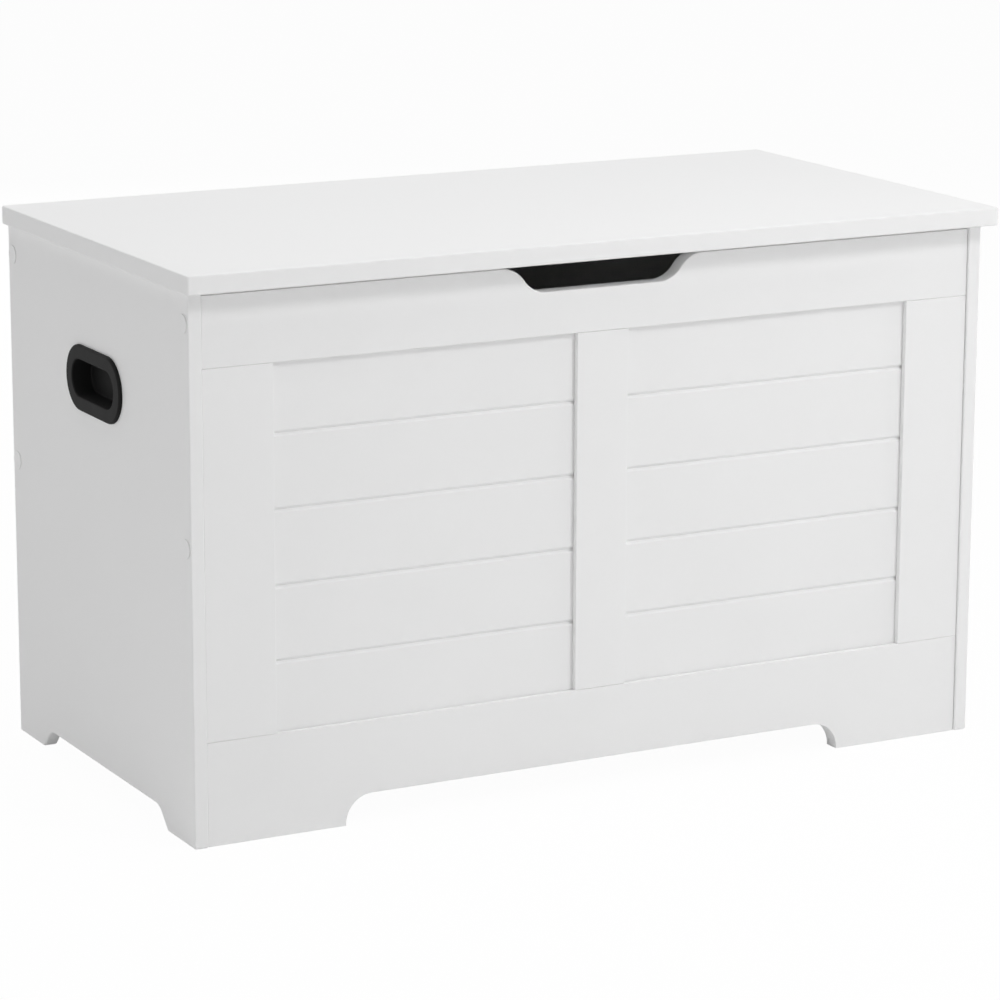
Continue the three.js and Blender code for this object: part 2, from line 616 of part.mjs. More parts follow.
function bumper(name, sign, y) {
  const height = LID_GAP - 2 * FACE_GAP;
  const profile = [
    [0, 0],
    [0, BUMPER_RADIUS],
    [height / 2, BUMPER_RADIUS],
    [height, BUMPER_RADIUS - height / 2],
    [height, 0],
  ];
  const mesh = piece(name, turned(profile, BORE_FACETS).rotateY(-Math.PI / 2), CLEAR_RUBBER);
  mesh.position.set(sign * (BODY_WIDTH - SIDE_THICKNESS) / 2, y, SIDE_HEIGHT + FACE_GAP);
  return mesh;
}

function sideFittings(side) {
  const { name, sign } = side;
  const fittings = [handle(side)];
  for (const line of JOINT_LINES) {
    SCREW_HEIGHTS.forEach((z, index) => {
      const place = `${name}_${line.name}_${index === 0 ? 'upper' : 'lower'}`;
      fittings.push(connectingScrew(`connecting_screw_${place}`, sign, line.y, z));
      fittings.push(coverCap(`cover_cap_${place}`, sign, line.y, z));
    });
    fittings.push(dowel(`dowel_${name}_${line.name}`, sign, line.y));
  }
  fittings.push(bumper(`lid_bumper_${name}_front`, sign, BUMPER_INSET));
  fittings.push(bumper(`lid_bumper_${name}_back`, sign, BODY_DEPTH - BUMPER_INSET));
  return fittings;
}

// ---- Friction hinges ----------------------------------------------------------------------------
// Each hinge is built about its own pin: X along the pin, Y = 0 and Z = 0 on the pin's axis.

const SLEEVE_INSIDE = PIN_RADIUS + JOINT_CLEARANCE;
const SLEEVE_OUTSIDE = SLEEVE_INSIDE + SLEEVE_WALL;
const CENTRE_HALF = HINGE_CENTRE_KNUCKLE / 2;
const LEAF_INSIDE = KNUCKLE_RADIUS - LEAF_THICKNESS; // from the pin's axis to a leaf's open face
const LEAF_NEAR = KNUCKLE_RADIUS + KNUCKLE_GAP; // where a leaf starts beside the other leaf's knuckles
const LID_LEAF_SCREW_Y = -LEAF_NEAR - LID_LEAF_DEPTH / 2;
const BACK_LEAF_SCREW_Z = -LEAF_NEAR - BACK_LEAF_HEIGHT / 2;

function hingeX(sign) {
  return sign * (LID_WIDTH / 2 - HINGE_INSET);
}

function screwRow() {
  return [-LEAF_SCREW_PITCH, 0, LEAF_SCREW_PITCH];
}

function backLeafScrewPlaces(sign) {
  return screwRow().map((x) => [hingeX(sign) + x, BACK_OUTSIDE, AXIS_Z + BACK_LEAF_SCREW_Z]);
}

// A wood screw along +X from its head's face, grown by a clearance for its hole.
function leafScrewProfile(grow) {
  const radius = LEAF_SCREW_RADIUS + grow;
  return [
    [0, 0],
    [0, LEAF_SCREW_HEAD_RADIUS + grow],
    [LEAF_SCREW_HEAD_HEIGHT, radius],
    [LEAF_SCREW_LENGTH - 2 * LEAF_SCREW_RADIUS, radius],
    [LEAF_SCREW_LENGTH + grow, LEAF_SCREW_TIP_RADIUS + grow],
    [LEAF_SCREW_LENGTH + grow, 0],
  ];
}

// The hole that a leaf's screw takes in the wood behind it, along +X from the wood's face.
function leafPilot() {
  const hole = solid(turned(leafScrewProfile(JOINT_CLEARANCE), LEAF_SCREW_FACETS));
  return hole.translate([-LEAF_THICKNESS - FACE_GAP, 0, 0]);
}

function leafScrew(name) {
  const half = LEAF_SCREW_CROSS / 2;
  const arm = LEAF_SCREW_CROSS_LENGTH / 2;
  const recess = [[half, arm], [arm, half]].map(([y, z]) => block(
    [-OVERREACH, -y, -z],
    [LEAF_SCREW_CROSS_DEPTH, y, z],
  ));
  return piece(name, cut(solid(turned(leafScrewProfile(0), LEAF_SCREW_FACETS)), ...recess), ZINC_PLATE);
}

// A leaf lies on XY at Z = LEAF_INSIDE, goes towards -Y and rolls round the pin at each stretch of
// X in rolls. Its two far corners are rounded, and its screws are countersunk from below.
function leaf(name, reach, rolls, boreRadius) {
  const half = HINGE_LENGTH / 2;
  const far = LEAF_NEAR + reach;
  const corner = Math.min(LEAF_CORNER, reach / 2);
  const outline = new THREE.Shape();
  outline.moveTo(half, -LEAF_NEAR);
  outline.lineTo(-half, -LEAF_NEAR);
  outline.absarc(-half + corner, -far + corner, corner, Math.PI, 1.5 * Math.PI, false);
  outline.absarc(half - corner, -far + corner, corner, 1.5 * Math.PI, 2 * Math.PI, false);
  outline.closePath();
  const sheet = solid(prism(outline, LEAF_THICKNESS).translate(0, 0, LEAF_INSIDE));
  const knuckles = rolls.flatMap(([x0, x1]) => [
    block([x0, -LEAF_NEAR - KNUCKLE_GAP, LEAF_INSIDE], [x1, 0, KNUCKLE_RADIUS]),
    solid(rod(KNUCKLE_RADIUS, x0, x1, ROUND_FACETS)),
  ]);
  const bore = solid(rod(boreRadius, -half - OVERREACH, half + OVERREACH, BORE_FACETS));
  const countersinks = screwRow().flatMap((x) => [
    solid(turned(leafScrewProfile(JOINT_CLEARANCE), LEAF_SCREW_FACETS)),
    solid(rod(LEAF_SCREW_HEAD_RADIUS + JOINT_CLEARANCE, -OVERREACH, 0, LEAF_SCREW_FACETS)),
  ].map((tool) => tool.rotate([0, -90, 0]).translate([x, -LEAF_NEAR - reach / 2, LEAF_INSIDE])));
  return piece(name, cut(join(sheet, ...knuckles), bore, ...countersinks), ZINC_PLATE);
}

// The leaf under the lid, with the centre knuckle.
function lidLeaf(name) {
  const end = CENTRE_HALF - KNUCKLE_GAP;
  return leaf(name, LID_LEAF_DEPTH, [[-end, end]], SLEEVE_OUTSIDE + JOINT_CLEARANCE);
}

// The leaf on the back panel, with the two outer knuckles. It is the same sheet, turned a quarter
// about the pin so that it hangs down.
function backLeaf(name) {
  const half = HINGE_LENGTH / 2;
  const mesh = leaf(name, BACK_LEAF_HEIGHT, [[-half, -CENTRE_HALF], [CENTRE_HALF, half]], SLEEVE_INSIDE);
  mesh.rotation.x = Math.PI / 2;
  return mesh;
}

function hingePin(name) {
  const end = HINGE_LENGTH / 2 + FACE_GAP;
  const round = PIN_HEAD_LENGTH / 2;
  const half = [
    [end, PIN_RADIUS],
    [end, PIN_HEAD_RADIUS],
    [end + round, PIN_HEAD_RADIUS],
    [end + PIN_HEAD_LENGTH, PIN_HEAD_RADIUS - round],
    [end + PIN_HEAD_LENGTH, 0],
  ];
  const mirrored = half.map(([x, radius]) => [-x, radius]).reverse();
  return piece(name, turned([...mirrored, ...half], BORE_FACETS), ZINC_PLATE);
}

// The split sleeve that grips the pin inside the centre knuckle.
function frictionSleeve(name) {
  const half = SLEEVE_LENGTH / 2;
  const past = half + OVERREACH;
  const tube = solid(rod(SLEEVE_OUTSIDE, -half, half, ROUND_FACETS));
  const bore = solid(rod(SLEEVE_INSIDE, -past, past, BORE_FACETS));
  const slit = block([-past, 0, -SLEEVE_SLIT / 2], [past, SLEEVE_OUTSIDE + OVERREACH, SLEEVE_SLIT / 2]);
  return piece(name, cut(tube, bore, slit), SPRING_STEEL);
}

// What stays with the chest, and what turns with the lid.
function hingeOnChest({ name, sign }) {
  const group = new THREE.Group();
  group.position.set(hingeX(sign), AXIS_Y, AXIS_Z);
  group.add(backLeaf(`hinge_${name}_back_leaf`), hingePin(`hinge_${name}_pin`));
  screwRow().forEach((x, index) => {
    const screw = leafScrew(`hinge_${name}_back_screw_${index + 1}`);
    screw.rotation.z = -Math.PI / 2;
    screw.position.set(x, -LEAF_INSIDE, BACK_LEAF_SCREW_Z);
    group.add(screw);
  });
  return group;
}

function hingeOnLid({ name, sign }) {
  const group = new THREE.Group();
  group.position.set(hingeX(sign), 0, 0);
  group.add(lidLeaf(`hinge_${name}_lid_leaf`), frictionSleeve(`hinge_${name}_friction_sleeve`));
  screwRow().forEach((x, index) => {
    const screw = leafScrew(`hinge_${name}_lid_screw_${index + 1}`);
    screw.rotation.y = -Math.PI / 2;
    screw.position.set(x, LID_LEAF_SCREW_Y, LEAF_INSIDE);
    group.add(screw);
  });
  return group;
}

// ---- Lid, in the frame of the hinge axis --------------------------------------------------------

function lidPanel() {
  const outline = roundedRectangle(LID_WIDTH, LID_DEPTH, LID_CORNER);
  const panel = board(outline, LID_THICKNESS, LID_ARRIS, WIDE_ARRIS_STEPS);
  panel.translate(0, LID_BACK - AXIS_Y - LID_DEPTH / 2, LID_UNDERSIDE - AXIS_Z);
  const pilots = SIDES.flatMap(({ sign }) => screwRow().map((x) => {
    const place = [hingeX(sign) + x, LID_LEAF_SCREW_Y, LID_UNDERSIDE - AXIS_Z];
    return leafPilot().rotate([0, -90, 0]).translate(place);
  }));
  return piece('lid', cut(solid(panel), ...pilots), WHITE_PAINT);
}

// ---- Assembly -----------------------------------------------------------------------------------

const outerStile = (FRAME_WIDTH - OUTER_STILE_WIDTH) / 2;

const lidAssembly = new THREE.Group();
lidAssembly.position.set(0, AXIS_Y, AXIS_Z);
lidAssembly.add(lidPanel(), ...SIDES.map(hingeOnLid));

const chest = new THREE.Group();
chest.add(...SIDES.map(sidePanel));
chest.add(topRail(), plinthRail());
chest.add(stile('front_stile_left', -outerStile, OUTER_STILE_WIDTH, [1]));
chest.add(stile('front_stile_centre', 0, CENTRE_STILE_WIDTH, [-1, 1]));
chest.add(stile('front_stile_right', outerStile, OUTER_STILE_WIDTH, [-1]));
chest.add(...SIDES.map(slatPanel));
chest.add(backPanel(), bottomPanel());
chest.add(...SIDES.flatMap(sideFittings));
chest.add(...SIDES.map(hingeOnChest));

const toyChest = new THREE.Group();
chest.add(lidAssembly);
toyChest.add(chest);
chest.position.set(0, LID_FRONT_OVERHANG - OVERALL_DEPTH / 2, 0);

export default toyChest;
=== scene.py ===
import math

import bmesh
import bpy
from mathutils import Matrix, Vector


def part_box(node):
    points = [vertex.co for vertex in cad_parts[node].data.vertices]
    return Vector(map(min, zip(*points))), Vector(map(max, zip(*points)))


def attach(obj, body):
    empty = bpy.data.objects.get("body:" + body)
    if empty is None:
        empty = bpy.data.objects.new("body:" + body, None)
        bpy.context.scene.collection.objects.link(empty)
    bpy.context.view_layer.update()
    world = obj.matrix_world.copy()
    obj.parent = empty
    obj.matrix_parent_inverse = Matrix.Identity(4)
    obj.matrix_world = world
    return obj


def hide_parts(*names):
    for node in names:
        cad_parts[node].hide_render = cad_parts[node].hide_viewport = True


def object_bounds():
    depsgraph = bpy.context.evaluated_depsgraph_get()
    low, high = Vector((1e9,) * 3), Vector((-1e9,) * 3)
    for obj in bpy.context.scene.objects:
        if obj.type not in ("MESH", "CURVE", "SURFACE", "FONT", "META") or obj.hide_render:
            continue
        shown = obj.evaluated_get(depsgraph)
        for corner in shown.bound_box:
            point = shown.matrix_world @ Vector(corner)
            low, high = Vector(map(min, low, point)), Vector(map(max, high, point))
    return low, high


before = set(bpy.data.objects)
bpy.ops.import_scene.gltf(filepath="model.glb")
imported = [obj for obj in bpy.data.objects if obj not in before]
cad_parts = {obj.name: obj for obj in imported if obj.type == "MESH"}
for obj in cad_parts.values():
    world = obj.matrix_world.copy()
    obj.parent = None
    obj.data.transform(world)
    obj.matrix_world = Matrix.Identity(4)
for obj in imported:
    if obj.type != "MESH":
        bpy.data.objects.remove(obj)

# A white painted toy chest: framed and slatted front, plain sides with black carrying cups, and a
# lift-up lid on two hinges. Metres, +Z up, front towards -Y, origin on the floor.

CAD_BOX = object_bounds()
SIDE_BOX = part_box("side_panel_left")
SIDE_THICKNESS = SIDE_BOX[1].x - SIDE_BOX[0].x
MM = 0.001
SIDES = {"left": -1, "right": 1}  # and the sign of each one's X

# ---- Sizes that the frame's boxes don't give -----------------------------------------------------

LID_CORNER = 2.5 * MM  # seen from above
LID_ARRIS = 1.3 * MM
SIDE_ARRIS = 1.5 * MM
FRAME_ARRIS = 0.6 * MM
BACK_ARRIS = 0.8 * MM
BOTTOM_ARRIS = 0.5 * MM

SIDE_FOOT = 56 * MM  # length of each foot along the floor
SIDE_ARCH_HEIGHT = 17.5 * MM
SIDE_ARCH_SLANT = math.radians(45)
SIDE_ARCH_FILLET = 18 * MM

PLINTH_FOOT = 123 * MM
PLINTH_ARCH_HEIGHT = 25 * MM
PLINTH_ARCH_FILLET = 24 * MM

SLOT_FLAT = 106 * MM  # straight bottom of the finger slot
SLOT_END = 41.5 * MM  # length of each S-shaped end
SLOT_DEPTH = 21.9 * MM
SLOT_ARRIS = 1 * MM  # front edge of the slot and of the rail's top

SLAT_COUNT = 5
SLAT_V_WIDTH = 4.6 * MM
SLAT_V_DEPTH = 2.3 * MM
SLAT_ARRIS = 0.35 * MM

TONGUE = 4 * MM  # length held in a groove
CLEARANCE = 0.3 * MM
SEAM = 0.1 * MM  # between a rail and a stile
OVERREACH = 1 * MM  # how far a cutting tool runs past what it cuts

HANDLE_FLANGE = 3 * MM
HANDLE_ROUND = 1.8 * MM  # outer edge of the flange
HANDLE_LIP = 1.1 * MM  # edge of the opening
HANDLE_OPENING = (89 * MM, 32 * MM)
HANDLE_WALL = 2 * MM
HANDLE_DEPTH = 18 * MM  # from the flange's face to the cup's floor
HANDLE_DRAFT = 0.6 * MM  # how much narrower the floor is than the opening, all round
HANDLE_FILLET = 1.5 * MM  # round the cup's floor
HANDLE_LUG = (2 * MM, 3 * MM, 14 * MM)  # thickness, reach past the cup's wall, width

CAP_THICKNESS = 0.5 * MM
CAP_ROUND = 0.35 * MM
BUMPER_ROUND = 0.5 * MM

SCREW_HEAD = 5.3 * MM  # radii of a connecting screw's hole, and the depth of its wide part
SCREW_SHANK = 3.8 * MM
SCREW_THREAD = 3.4 * MM
SCREW_COUNTERBORE = 3.6 * MM
DOWEL_HOLE = 4.3 * MM  # radius
PILOT_SINK = 2 * MM  # depth and radius of the wide mouth of a leaf screw's hole in a board
PILOT_SINK_RADIUS = 2.55 * MM

LEAF_THICKNESS = 1.2 * MM
LEAF_CORNER = 5 * MM
LEAF_ARRIS = 0.25 * MM
KNUCKLE_RADIUS = 4.6 * MM
KNUCKLE_GAP = 0.5 * MM
CENTRE_KNUCKLE = 37 * MM  # length, with its gaps
ROLL_ANGLE = math.radians(300)
PIN_RADIUS = 2 * MM
PIN_ROUND = 0.4 * MM
PIN_PLAY = 0.2 * MM  # between each head and the knuckles
LEAF_SCREW_HEAD = 3.4 * MM  # radius
LEAF_SCREW_HEAD_DEPTH = 1.7 * MM
LEAF_SCREW_RIM = 0.2 * MM  # straight edge of the head
LEAF_SCREW_NECK = 1 * MM  # plain length under the head
LEAF_SCREW_ROOT = 1.1 * MM  # radius between the thread's turns
LEAF_SCREW_CREST = 1.6 * MM
LEAF_SCREW_PITCH = 1.4 * MM
LEAF_SCREW_LENGTH = 13 * MM
LEAF_SCREW_TIP = 2.5 * MM  # length of the point
CROSS_WIDTH = 0.7 * MM
CROSS_LENGTH = 4 * MM
CROSS_DEPTH = 1.2 * MM

# ---- How finely the pieces are made --------------------------------------------------------------

ARC_STEP = math.radians(6)  # turn of one facet of a curved edge
ROLL_STEPS = 30  # facets round a rolled knuckle
ROD_FACETS = 24
TURNED_FACETS = 32
BUMPER_FACETS = 40
CAP_FACETS = 64
FINE_STEPS = 2  # facets across a rounding, from the smallest to the largest
SMALL_STEPS = 3
MIDDLE_STEPS = 4
WIDE_STEPS = 5
CORNER_STEPS = 6

ROUNDED_FROM = math.radians(25)  # an edge that turns by more is rounded
SHARP_FROM = math.radians(30)  # and one that turns by more is shaded as an edge
FLAT_FACE_WEIGHT = 80  # share of the shading that the large faces keep
MERGED = 0.001 * MM  # points this close are one
LEVEL = 0.01 * MM  # a point this close to a plane lies in it
LOOP_SLACK = 1 * MM  # a point this close to a loop belongs to it
ALIKE = 0.99  # least cosine between two directions that count as one


# ---- Camera and light ----------------------------------------------------------------------------

CAMERA_PLACE = (-1.58004, -2.96941, 0.99708)
CAMERA_LENS = 142.15  # mm
CAMERA_YAW = -28.062  # degrees, as are the next two
CAMERA_PITCH = -13.17
CAMERA_ROLL = 0.185

SKY = 0.2  # strength of the room's even light
FLOOR_SHADOW = 0.03  # share of the floor's own shading that a viewer sees on its white
FLOOR_SIZE = 30
WHITE = (1, 1, 1, 1)


def camera():
    data = bpy.data.cameras.new("camera")
    data.lens = CAMERA_LENS
    made = bpy.data.objects.new("camera", data)
    bpy.context.scene.collection.objects.link(made)
    yaw = Matrix.Rotation(math.radians(CAMERA_YAW), 4, "Z")
    pitch = Matrix.Rotation(math.radians(90 + CAMERA_PITCH), 4, "X")
    roll = Matrix.Rotation(math.radians(CAMERA_ROLL), 4, "Z")
    made.matrix_world = Matrix.Translation(CAMERA_PLACE) @ yaw @ pitch @ roll
    bpy.context.scene.camera = made


def lamp(name, place, size, power):
    """A square soft box of a given side in metres and power in watts, facing the middle of the
    chest. It only lights: neither the camera nor a shiny surface sees it."""
    data = bpy.data.lights.new(name, "AREA")
    data.size = size
    data.energy = power
    made = bpy.data.objects.new(name, data)
    bpy.context.scene.collection.objects.link(made)
    made.visible_camera = False
    made.visible_glossy = False
    middle = (CAD_BOX[0] + CAD_BOX[1]) / 2
    made.location = place
    made.rotation_euler = (middle - Vector(place)).to_track_quat("-Z", "Y").to_euler()


# ---- Nodes ---------------------------------------------------------------------------------------

MIX_FIRST, MIX_SECOND, MIX_RESULT = 6, 7, 2  # the colour sockets of a Mix node


def colour(text):
    """A colour written as sRGB hex, in the linear values that a shader takes."""
    channels = [int(text[place:place + 2], 16) / 255 for place in (1, 3, 5)]
    linear = [c / 12.92 if c <= 0.04045 else ((c + 0.055) / 1.055) ** 2.4 for c in channels]
    return (*linear, 1)


def node(tree, kind, inputs, **settings):
    """Adds a node. An input is given a value, or the output socket that feeds it."""
    made = tree.nodes.new(kind)
    for name, value in settings.items():
        setattr(made, name, value)
    for name, value in inputs.items():
        if isinstance(value, bpy.types.NodeSocket):
            tree.links.new(value, made.inputs[name])
        else:
            made.inputs[name].default_value = value
    return made


def new_finish(name, constants):
    """A material with one Principled shader, and its tree, shader and Object coordinates."""
    material = bpy.data.materials.new(name)
    material.use_nodes = True
    tree = material.node_tree
    shader = tree.nodes["Principled BSDF"]
    for socket, value in constants.items():
        shader.inputs[socket].default_value = value
    place = node(tree, "ShaderNodeTexCoord", {}).outputs["Object"]
    return material, tree, shader, place


def seen_rays(tree):
    """1 for a camera ray, or one that a shiny or clear surface sends on, and 0 for the others."""
    path = node(tree, "ShaderNodeLightPath", {})
    shiny = node(tree, "ShaderNodeMath", {
        0: path.outputs["Is Camera Ray"],
        1: path.outputs["Is Glossy Ray"],
    }, operation="MAXIMUM")
    return node(tree, "ShaderNodeMath", {
        0: shiny.outputs[0],
        1: path.outputs["Is Transmission Ray"],
    }, operation="MAXIMUM").outputs[0]


# ---- Studio --------------------------------------------------------------------------------------


def white_room():
    """Even light from all round, which a viewer sees as plain white."""
    world = bpy.data.worlds.new("white_room")
    bpy.context.scene.world = world
    world.use_nodes = True
    tree = world.node_tree
    strength = node(tree, "ShaderNodeMapRange", {
        "Value": seen_rays(tree),
        "To Min": SKY,
        "To Max": 1.0,
    })
    background = tree.nodes["Background"]
    background.inputs["Color"].default_value = WHITE
    tree.links.new(strength.outputs["Result"], background.inputs["Strength"])


def white_floor():
    """A matt white floor. A viewer sees it as plain white, with a faint shadow of the chest."""
    deselect_all()
    bpy.ops.mesh.primitive_plane_add(size=FLOOR_SIZE)
    floor = bpy.context.object
    floor.name = "floor"
    material = bpy.data.materials.new("matt_white_floor")
    material.use_nodes = True
    tree = material.node_tree
    tree.nodes.remove(tree.nodes["Principled BSDF"])
    matt = node(tree, "ShaderNodeBsdfDiffuse", {"Color": colour("#f2f2f2")})
    white = node(tree, "ShaderNodeEmission", {"Color": WHITE, "Strength": 1.0})
    share = node(tree, "ShaderNodeMath", {
        0: seen_rays(tree),
        1: 1 - FLOOR_SHADOW,
    }, operation="MULTIPLY")
    surface = node(tree, "ShaderNodeMixShader", {
        0: share.outputs[0],
        1: matt.outputs[0],
        2: white.outputs[0],
    })
    tree.links.new(surface.outputs[0], tree.nodes["Material Output"].inputs["Surface"])
    floor.data.materials.append(material)


# ---- Finishes ------------------------------------------------------------------------------------


def satin_lacquer_on_mdf():
    # White satin lacquer sprayed on MDF: a closed film with no grain, dull enough to spread a
    # highlight into a soft sheen. The spray leaves a faint orange peel, drawn coarser than its real
    # 1 mm so that it shows, and the film's gloss and tone drift a little over a hand's breadth.
    peel = 3 * MM
    drift = 110 * MM
    material, tree, shader, place = new_finish("satin_lacquer_on_mdf", {"IOR": 1.5})
    cloud = node(tree, "ShaderNodeTexNoise", {"Vector": place, "Scale": 1 / drift, "Detail": 3.0})
    tone = node(tree, "ShaderNodeMix", {
        "Factor": cloud.outputs["Fac"],
        MIX_FIRST: colour("#ededed"),
        MIX_SECOND: colour("#f0f0f0"),
    }, data_type="RGBA")
    gloss = node(tree, "ShaderNodeMapRange", {
        "Value": cloud.outputs["Fac"],
        "To Min": 0.38,
        "To Max": 0.48,
    })
    dimples = node(tree, "ShaderNodeTexNoise", {"Vector": place, "Scale": 1 / peel, "Detail": 1.0})
    relief = node(tree, "ShaderNodeBump", {
        "Height": dimples.outputs["Fac"],
        "Strength": 0.5,
        "Distance": 0.02 * MM,
    })
    tree.links.new(tone.outputs[MIX_RESULT], shader.inputs["Base Color"])
    tree.links.new(gloss.outputs["Result"], shader.inputs["Roughness"])
    tree.links.new(relief.outputs["Normal"], shader.inputs["Normal"])
    return material


def moulded_black_abs():
    # Black ABS from a spark-eroded mould: a near-black plastic whose grey comes from what its fine,
    # even grain reflects. The grain is drawn at twice its real 0.4 mm so that it shows, and the
    # gloss drifts a little over a fingertip's breadth.
    grain = 0.8 * MM
    drift = 12 * MM
    constants = {"IOR": 1.52, "Specular IOR Level": 0.15}
    material, tree, shader, place = new_finish("moulded_black_abs", constants)
    pits = node(tree, "ShaderNodeTexVoronoi", {"Vector": place, "Scale": 1 / grain})
    cloud = node(tree, "ShaderNodeTexNoise", {"Vector": place, "Scale": 1 / drift, "Detail": 2.0})
    tone = node(tree, "ShaderNodeMix", {
        "Factor": cloud.outputs["Fac"],
        MIX_FIRST: colour("#101010"),
        MIX_SECOND: colour("#141414"),
    }, data_type="RGBA")
    gloss = node(tree, "ShaderNodeMapRange", {
        "Value": cloud.outputs["Fac"],
        "To Min": 0.6,
        "To Max": 0.7,
    })
    relief = node(tree, "ShaderNodeBump", {
        "Height": pits.outputs["Distance"],
        "Strength": 0.4,
        "Distance": 0.03 * MM,
    })
    tree.links.new(tone.outputs[MIX_RESULT], shader.inputs["Base Color"])
    tree.links.new(gloss.outputs["Result"], shader.inputs["Roughness"])
    tree.links.new(relief.outputs["Normal"], shader.inputs["Normal"])
    return material


def metal(name, dark, light, smooth, rough, grain, stretch):
    """A metal whose tone and gloss vary with a grain, drawn out along X by a stretch."""
    material, tree, shader, place = new_finish(name, {"Metallic": 1.0})
    lengthways = node(tree, "ShaderNodeMapping", {"Vector": place, "Scale": (1 / stretch, 1, 1)})
    streaks = node(tree, "ShaderNodeTexNoise", {
        "Vector": lengthways.outputs["Vector"],
        "Scale": 1 / grain,
        "Detail": 4.0,
    })
    tone = node(tree, "ShaderNodeMix", {
        "Factor": streaks.outputs["Fac"],
        MIX_FIRST: colour(dark),
        MIX_SECOND: colour(light),
    }, data_type="RGBA")
    gloss = node(tree, "ShaderNodeMapRange", {
        "Value": streaks.outputs["Fac"],
        "To Min": smooth,
        "To Max": rough,
    })
    relief = node(tree, "ShaderNodeBump", {
        "Height": streaks.outputs["Fac"],
        "Strength": 0.3,
        "Distance": 0.02 * MM,
    })
    tree.links.new(tone.outputs[MIX_RESULT], shader.inputs["Base Color"])
    tree.links.new(gloss.outputs["Result"], shader.inputs["Roughness"])
    tree.links.new(relief.outputs["Normal"], shader.inputs["Normal"])
    return material


def bright_zinc_plate():
    # Steel strip and wire with bright zinc plating: a cool, slightly cloudy silver. The plating's
    # crystals are far finer than its visible clouding, which is about 2 mm across.
    return metal("bright_zinc_plate", "#b4b8bd", "#cfd2d6", 0.24, 0.38, 2 * MM, 1)


def blued_spring_steel():
    # Hardened and tempered spring steel: a darker grey with drawn streaks along the sleeve.
    return metal("blued_spring_steel", "#55585d", "#74777c", 0.3, 0.42, 1 * MM, 12)


def white_vinyl_film():
    # Self-adhesive vinyl cover caps, calendered: the board's own white with a slightly smoother
    # face, so that only the rim and a change of sheen show them. The embossing is 1.2 mm across.
    emboss = 1.2 * MM
    constants = {"IOR": 1.53, "Base Color": colour("#eeeeee")}
    material, tree, shader, place = new_finish("white_vinyl_film", constants)
    leather = node(tree, "ShaderNodeTexNoise", {
        "Vector": place,
        "Scale": 1 / emboss,
        "Detail": 2.0,
    })
    gloss = node(tree, "ShaderNodeMapRange", {
        "Value": leather.outputs["Fac"],
        "To Min": 0.3,
        "To Max": 0.42,
    })
    relief = node(tree, "ShaderNodeBump", {
        "Height": leather.outputs["Fac"],
        "Strength": 0.5,
        "Distance": 0.02 * MM,
    })
    tree.links.new(gloss.outputs["Result"], shader.inputs["Roughness"])
    tree.links.new(relief.outputs["Normal"], shader.inputs["Normal"])
    return material


def clear_polyurethane():
    # Cast clear polyurethane bumpers: water-clear and soft, a little milky where dust clings, in
    # specks about 0.9 mm across.
    dust = 0.9 * MM
    constants = {"IOR": 1.49, "Transmission Weight": 1.0}
    material, tree, shader, place = new_finish("clear_polyurethane", constants)
    specks = node(tree, "ShaderNodeTexNoise", {"Vector": place, "Scale": 1 / dust, "Detail": 3.0})
    tone = node(tree, "ShaderNodeMix", {
        "Factor": specks.outputs["Fac"],
        MIX_FIRST: colour("#f2f3f2"),
        MIX_SECOND: colour("#fbfcfb"),
    }, data_type="RGBA")
    gloss = node(tree, "ShaderNodeMapRange", {
        "Value": specks.outputs["Fac"],
        "To Min": 0.1,
        "To Max": 0.3,
    })
    tree.links.new(tone.outputs[MIX_RESULT], shader.inputs["Base Color"])
    tree.links.new(gloss.outputs["Result"], shader.inputs["Roughness"])
    return material


def turned_beech():
    # Fluted beech dowel: pale pink-brown, with growth bands about 2 mm apart along its length and
    # the short dark flecks of beech's rays, 0.5 mm across.
    band = 2 * MM
    fleck = 0.5 * MM
    material, tree, shader, place = new_finish("turned_beech", {"IOR": 1.45})
    lengthways = node(tree, "ShaderNodeMapping", {"Vector": place, "Scale": (0.08, 1, 1)})
    bands = node(tree, "ShaderNodeTexNoise", {
        "Vector": lengthways.outputs["Vector"],
        "Scale": 1 / band,
        "Detail": 3.0,
    })
    rays = node(tree, "ShaderNodeTexNoise", {
        "Vector": lengthways.outputs["Vector"],
        "Scale": 1 / fleck,
        "Detail": 1.0,
    })
    wood = node(tree, "ShaderNodeMix", {
        "Factor": bands.outputs["Fac"],
        MIX_FIRST: colour("#c79a6b"),
        MIX_SECOND: colour("#e3c294"),
    }, data_type="RGBA")
    dark = node(tree, "ShaderNodeMapRange", {
        "Value": rays.outputs["Fac"],
        "From Min": 0.62,
        "From Max": 0.7,
        "To Max": 0.5,
    })
    flecked = node(tree, "ShaderNodeMix", {
        "Factor": dark.outputs["Result"],
        MIX_FIRST: wood.outputs[MIX_RESULT],
        MIX_SECOND: colour("#8f6238"),
    }, data_type="RGBA")
    gloss = node(tree, "ShaderNodeMapRange", {
        "Value": bands.outputs["Fac"],
        "To Min": 0.55,
        "To Max": 0.7,
    })
    relief = node(tree, "ShaderNodeBump", {
        "Height": bands.outputs["Fac"],
        "Strength": 0.4,
        "Distance": 0.05 * MM,
    })
    tree.links.new(flecked.outputs[MIX_RESULT], shader.inputs["Base Color"])
    tree.links.new(gloss.outputs["Result"], shader.inputs["Roughness"])
    tree.links.new(relief.outputs["Normal"], shader.inputs["Normal"])
    return material


# ---- Working on a piece --------------------------------------------------------------------------


def deselect_all():
    bpy.ops.object.select_all(action="DESELECT")


def pick(piece):
    """Makes a piece the active one, and the only one selected."""
    deselect_all()
    piece.select_set(True)
    bpy.context.view_layer.objects.active = piece


def edit(piece):
    """Opens a piece in edit mode, with nothing selected."""
    pick(piece)
    bpy.ops.object.mode_set(mode="EDIT")
    bpy.ops.mesh.select_all(action="DESELECT")


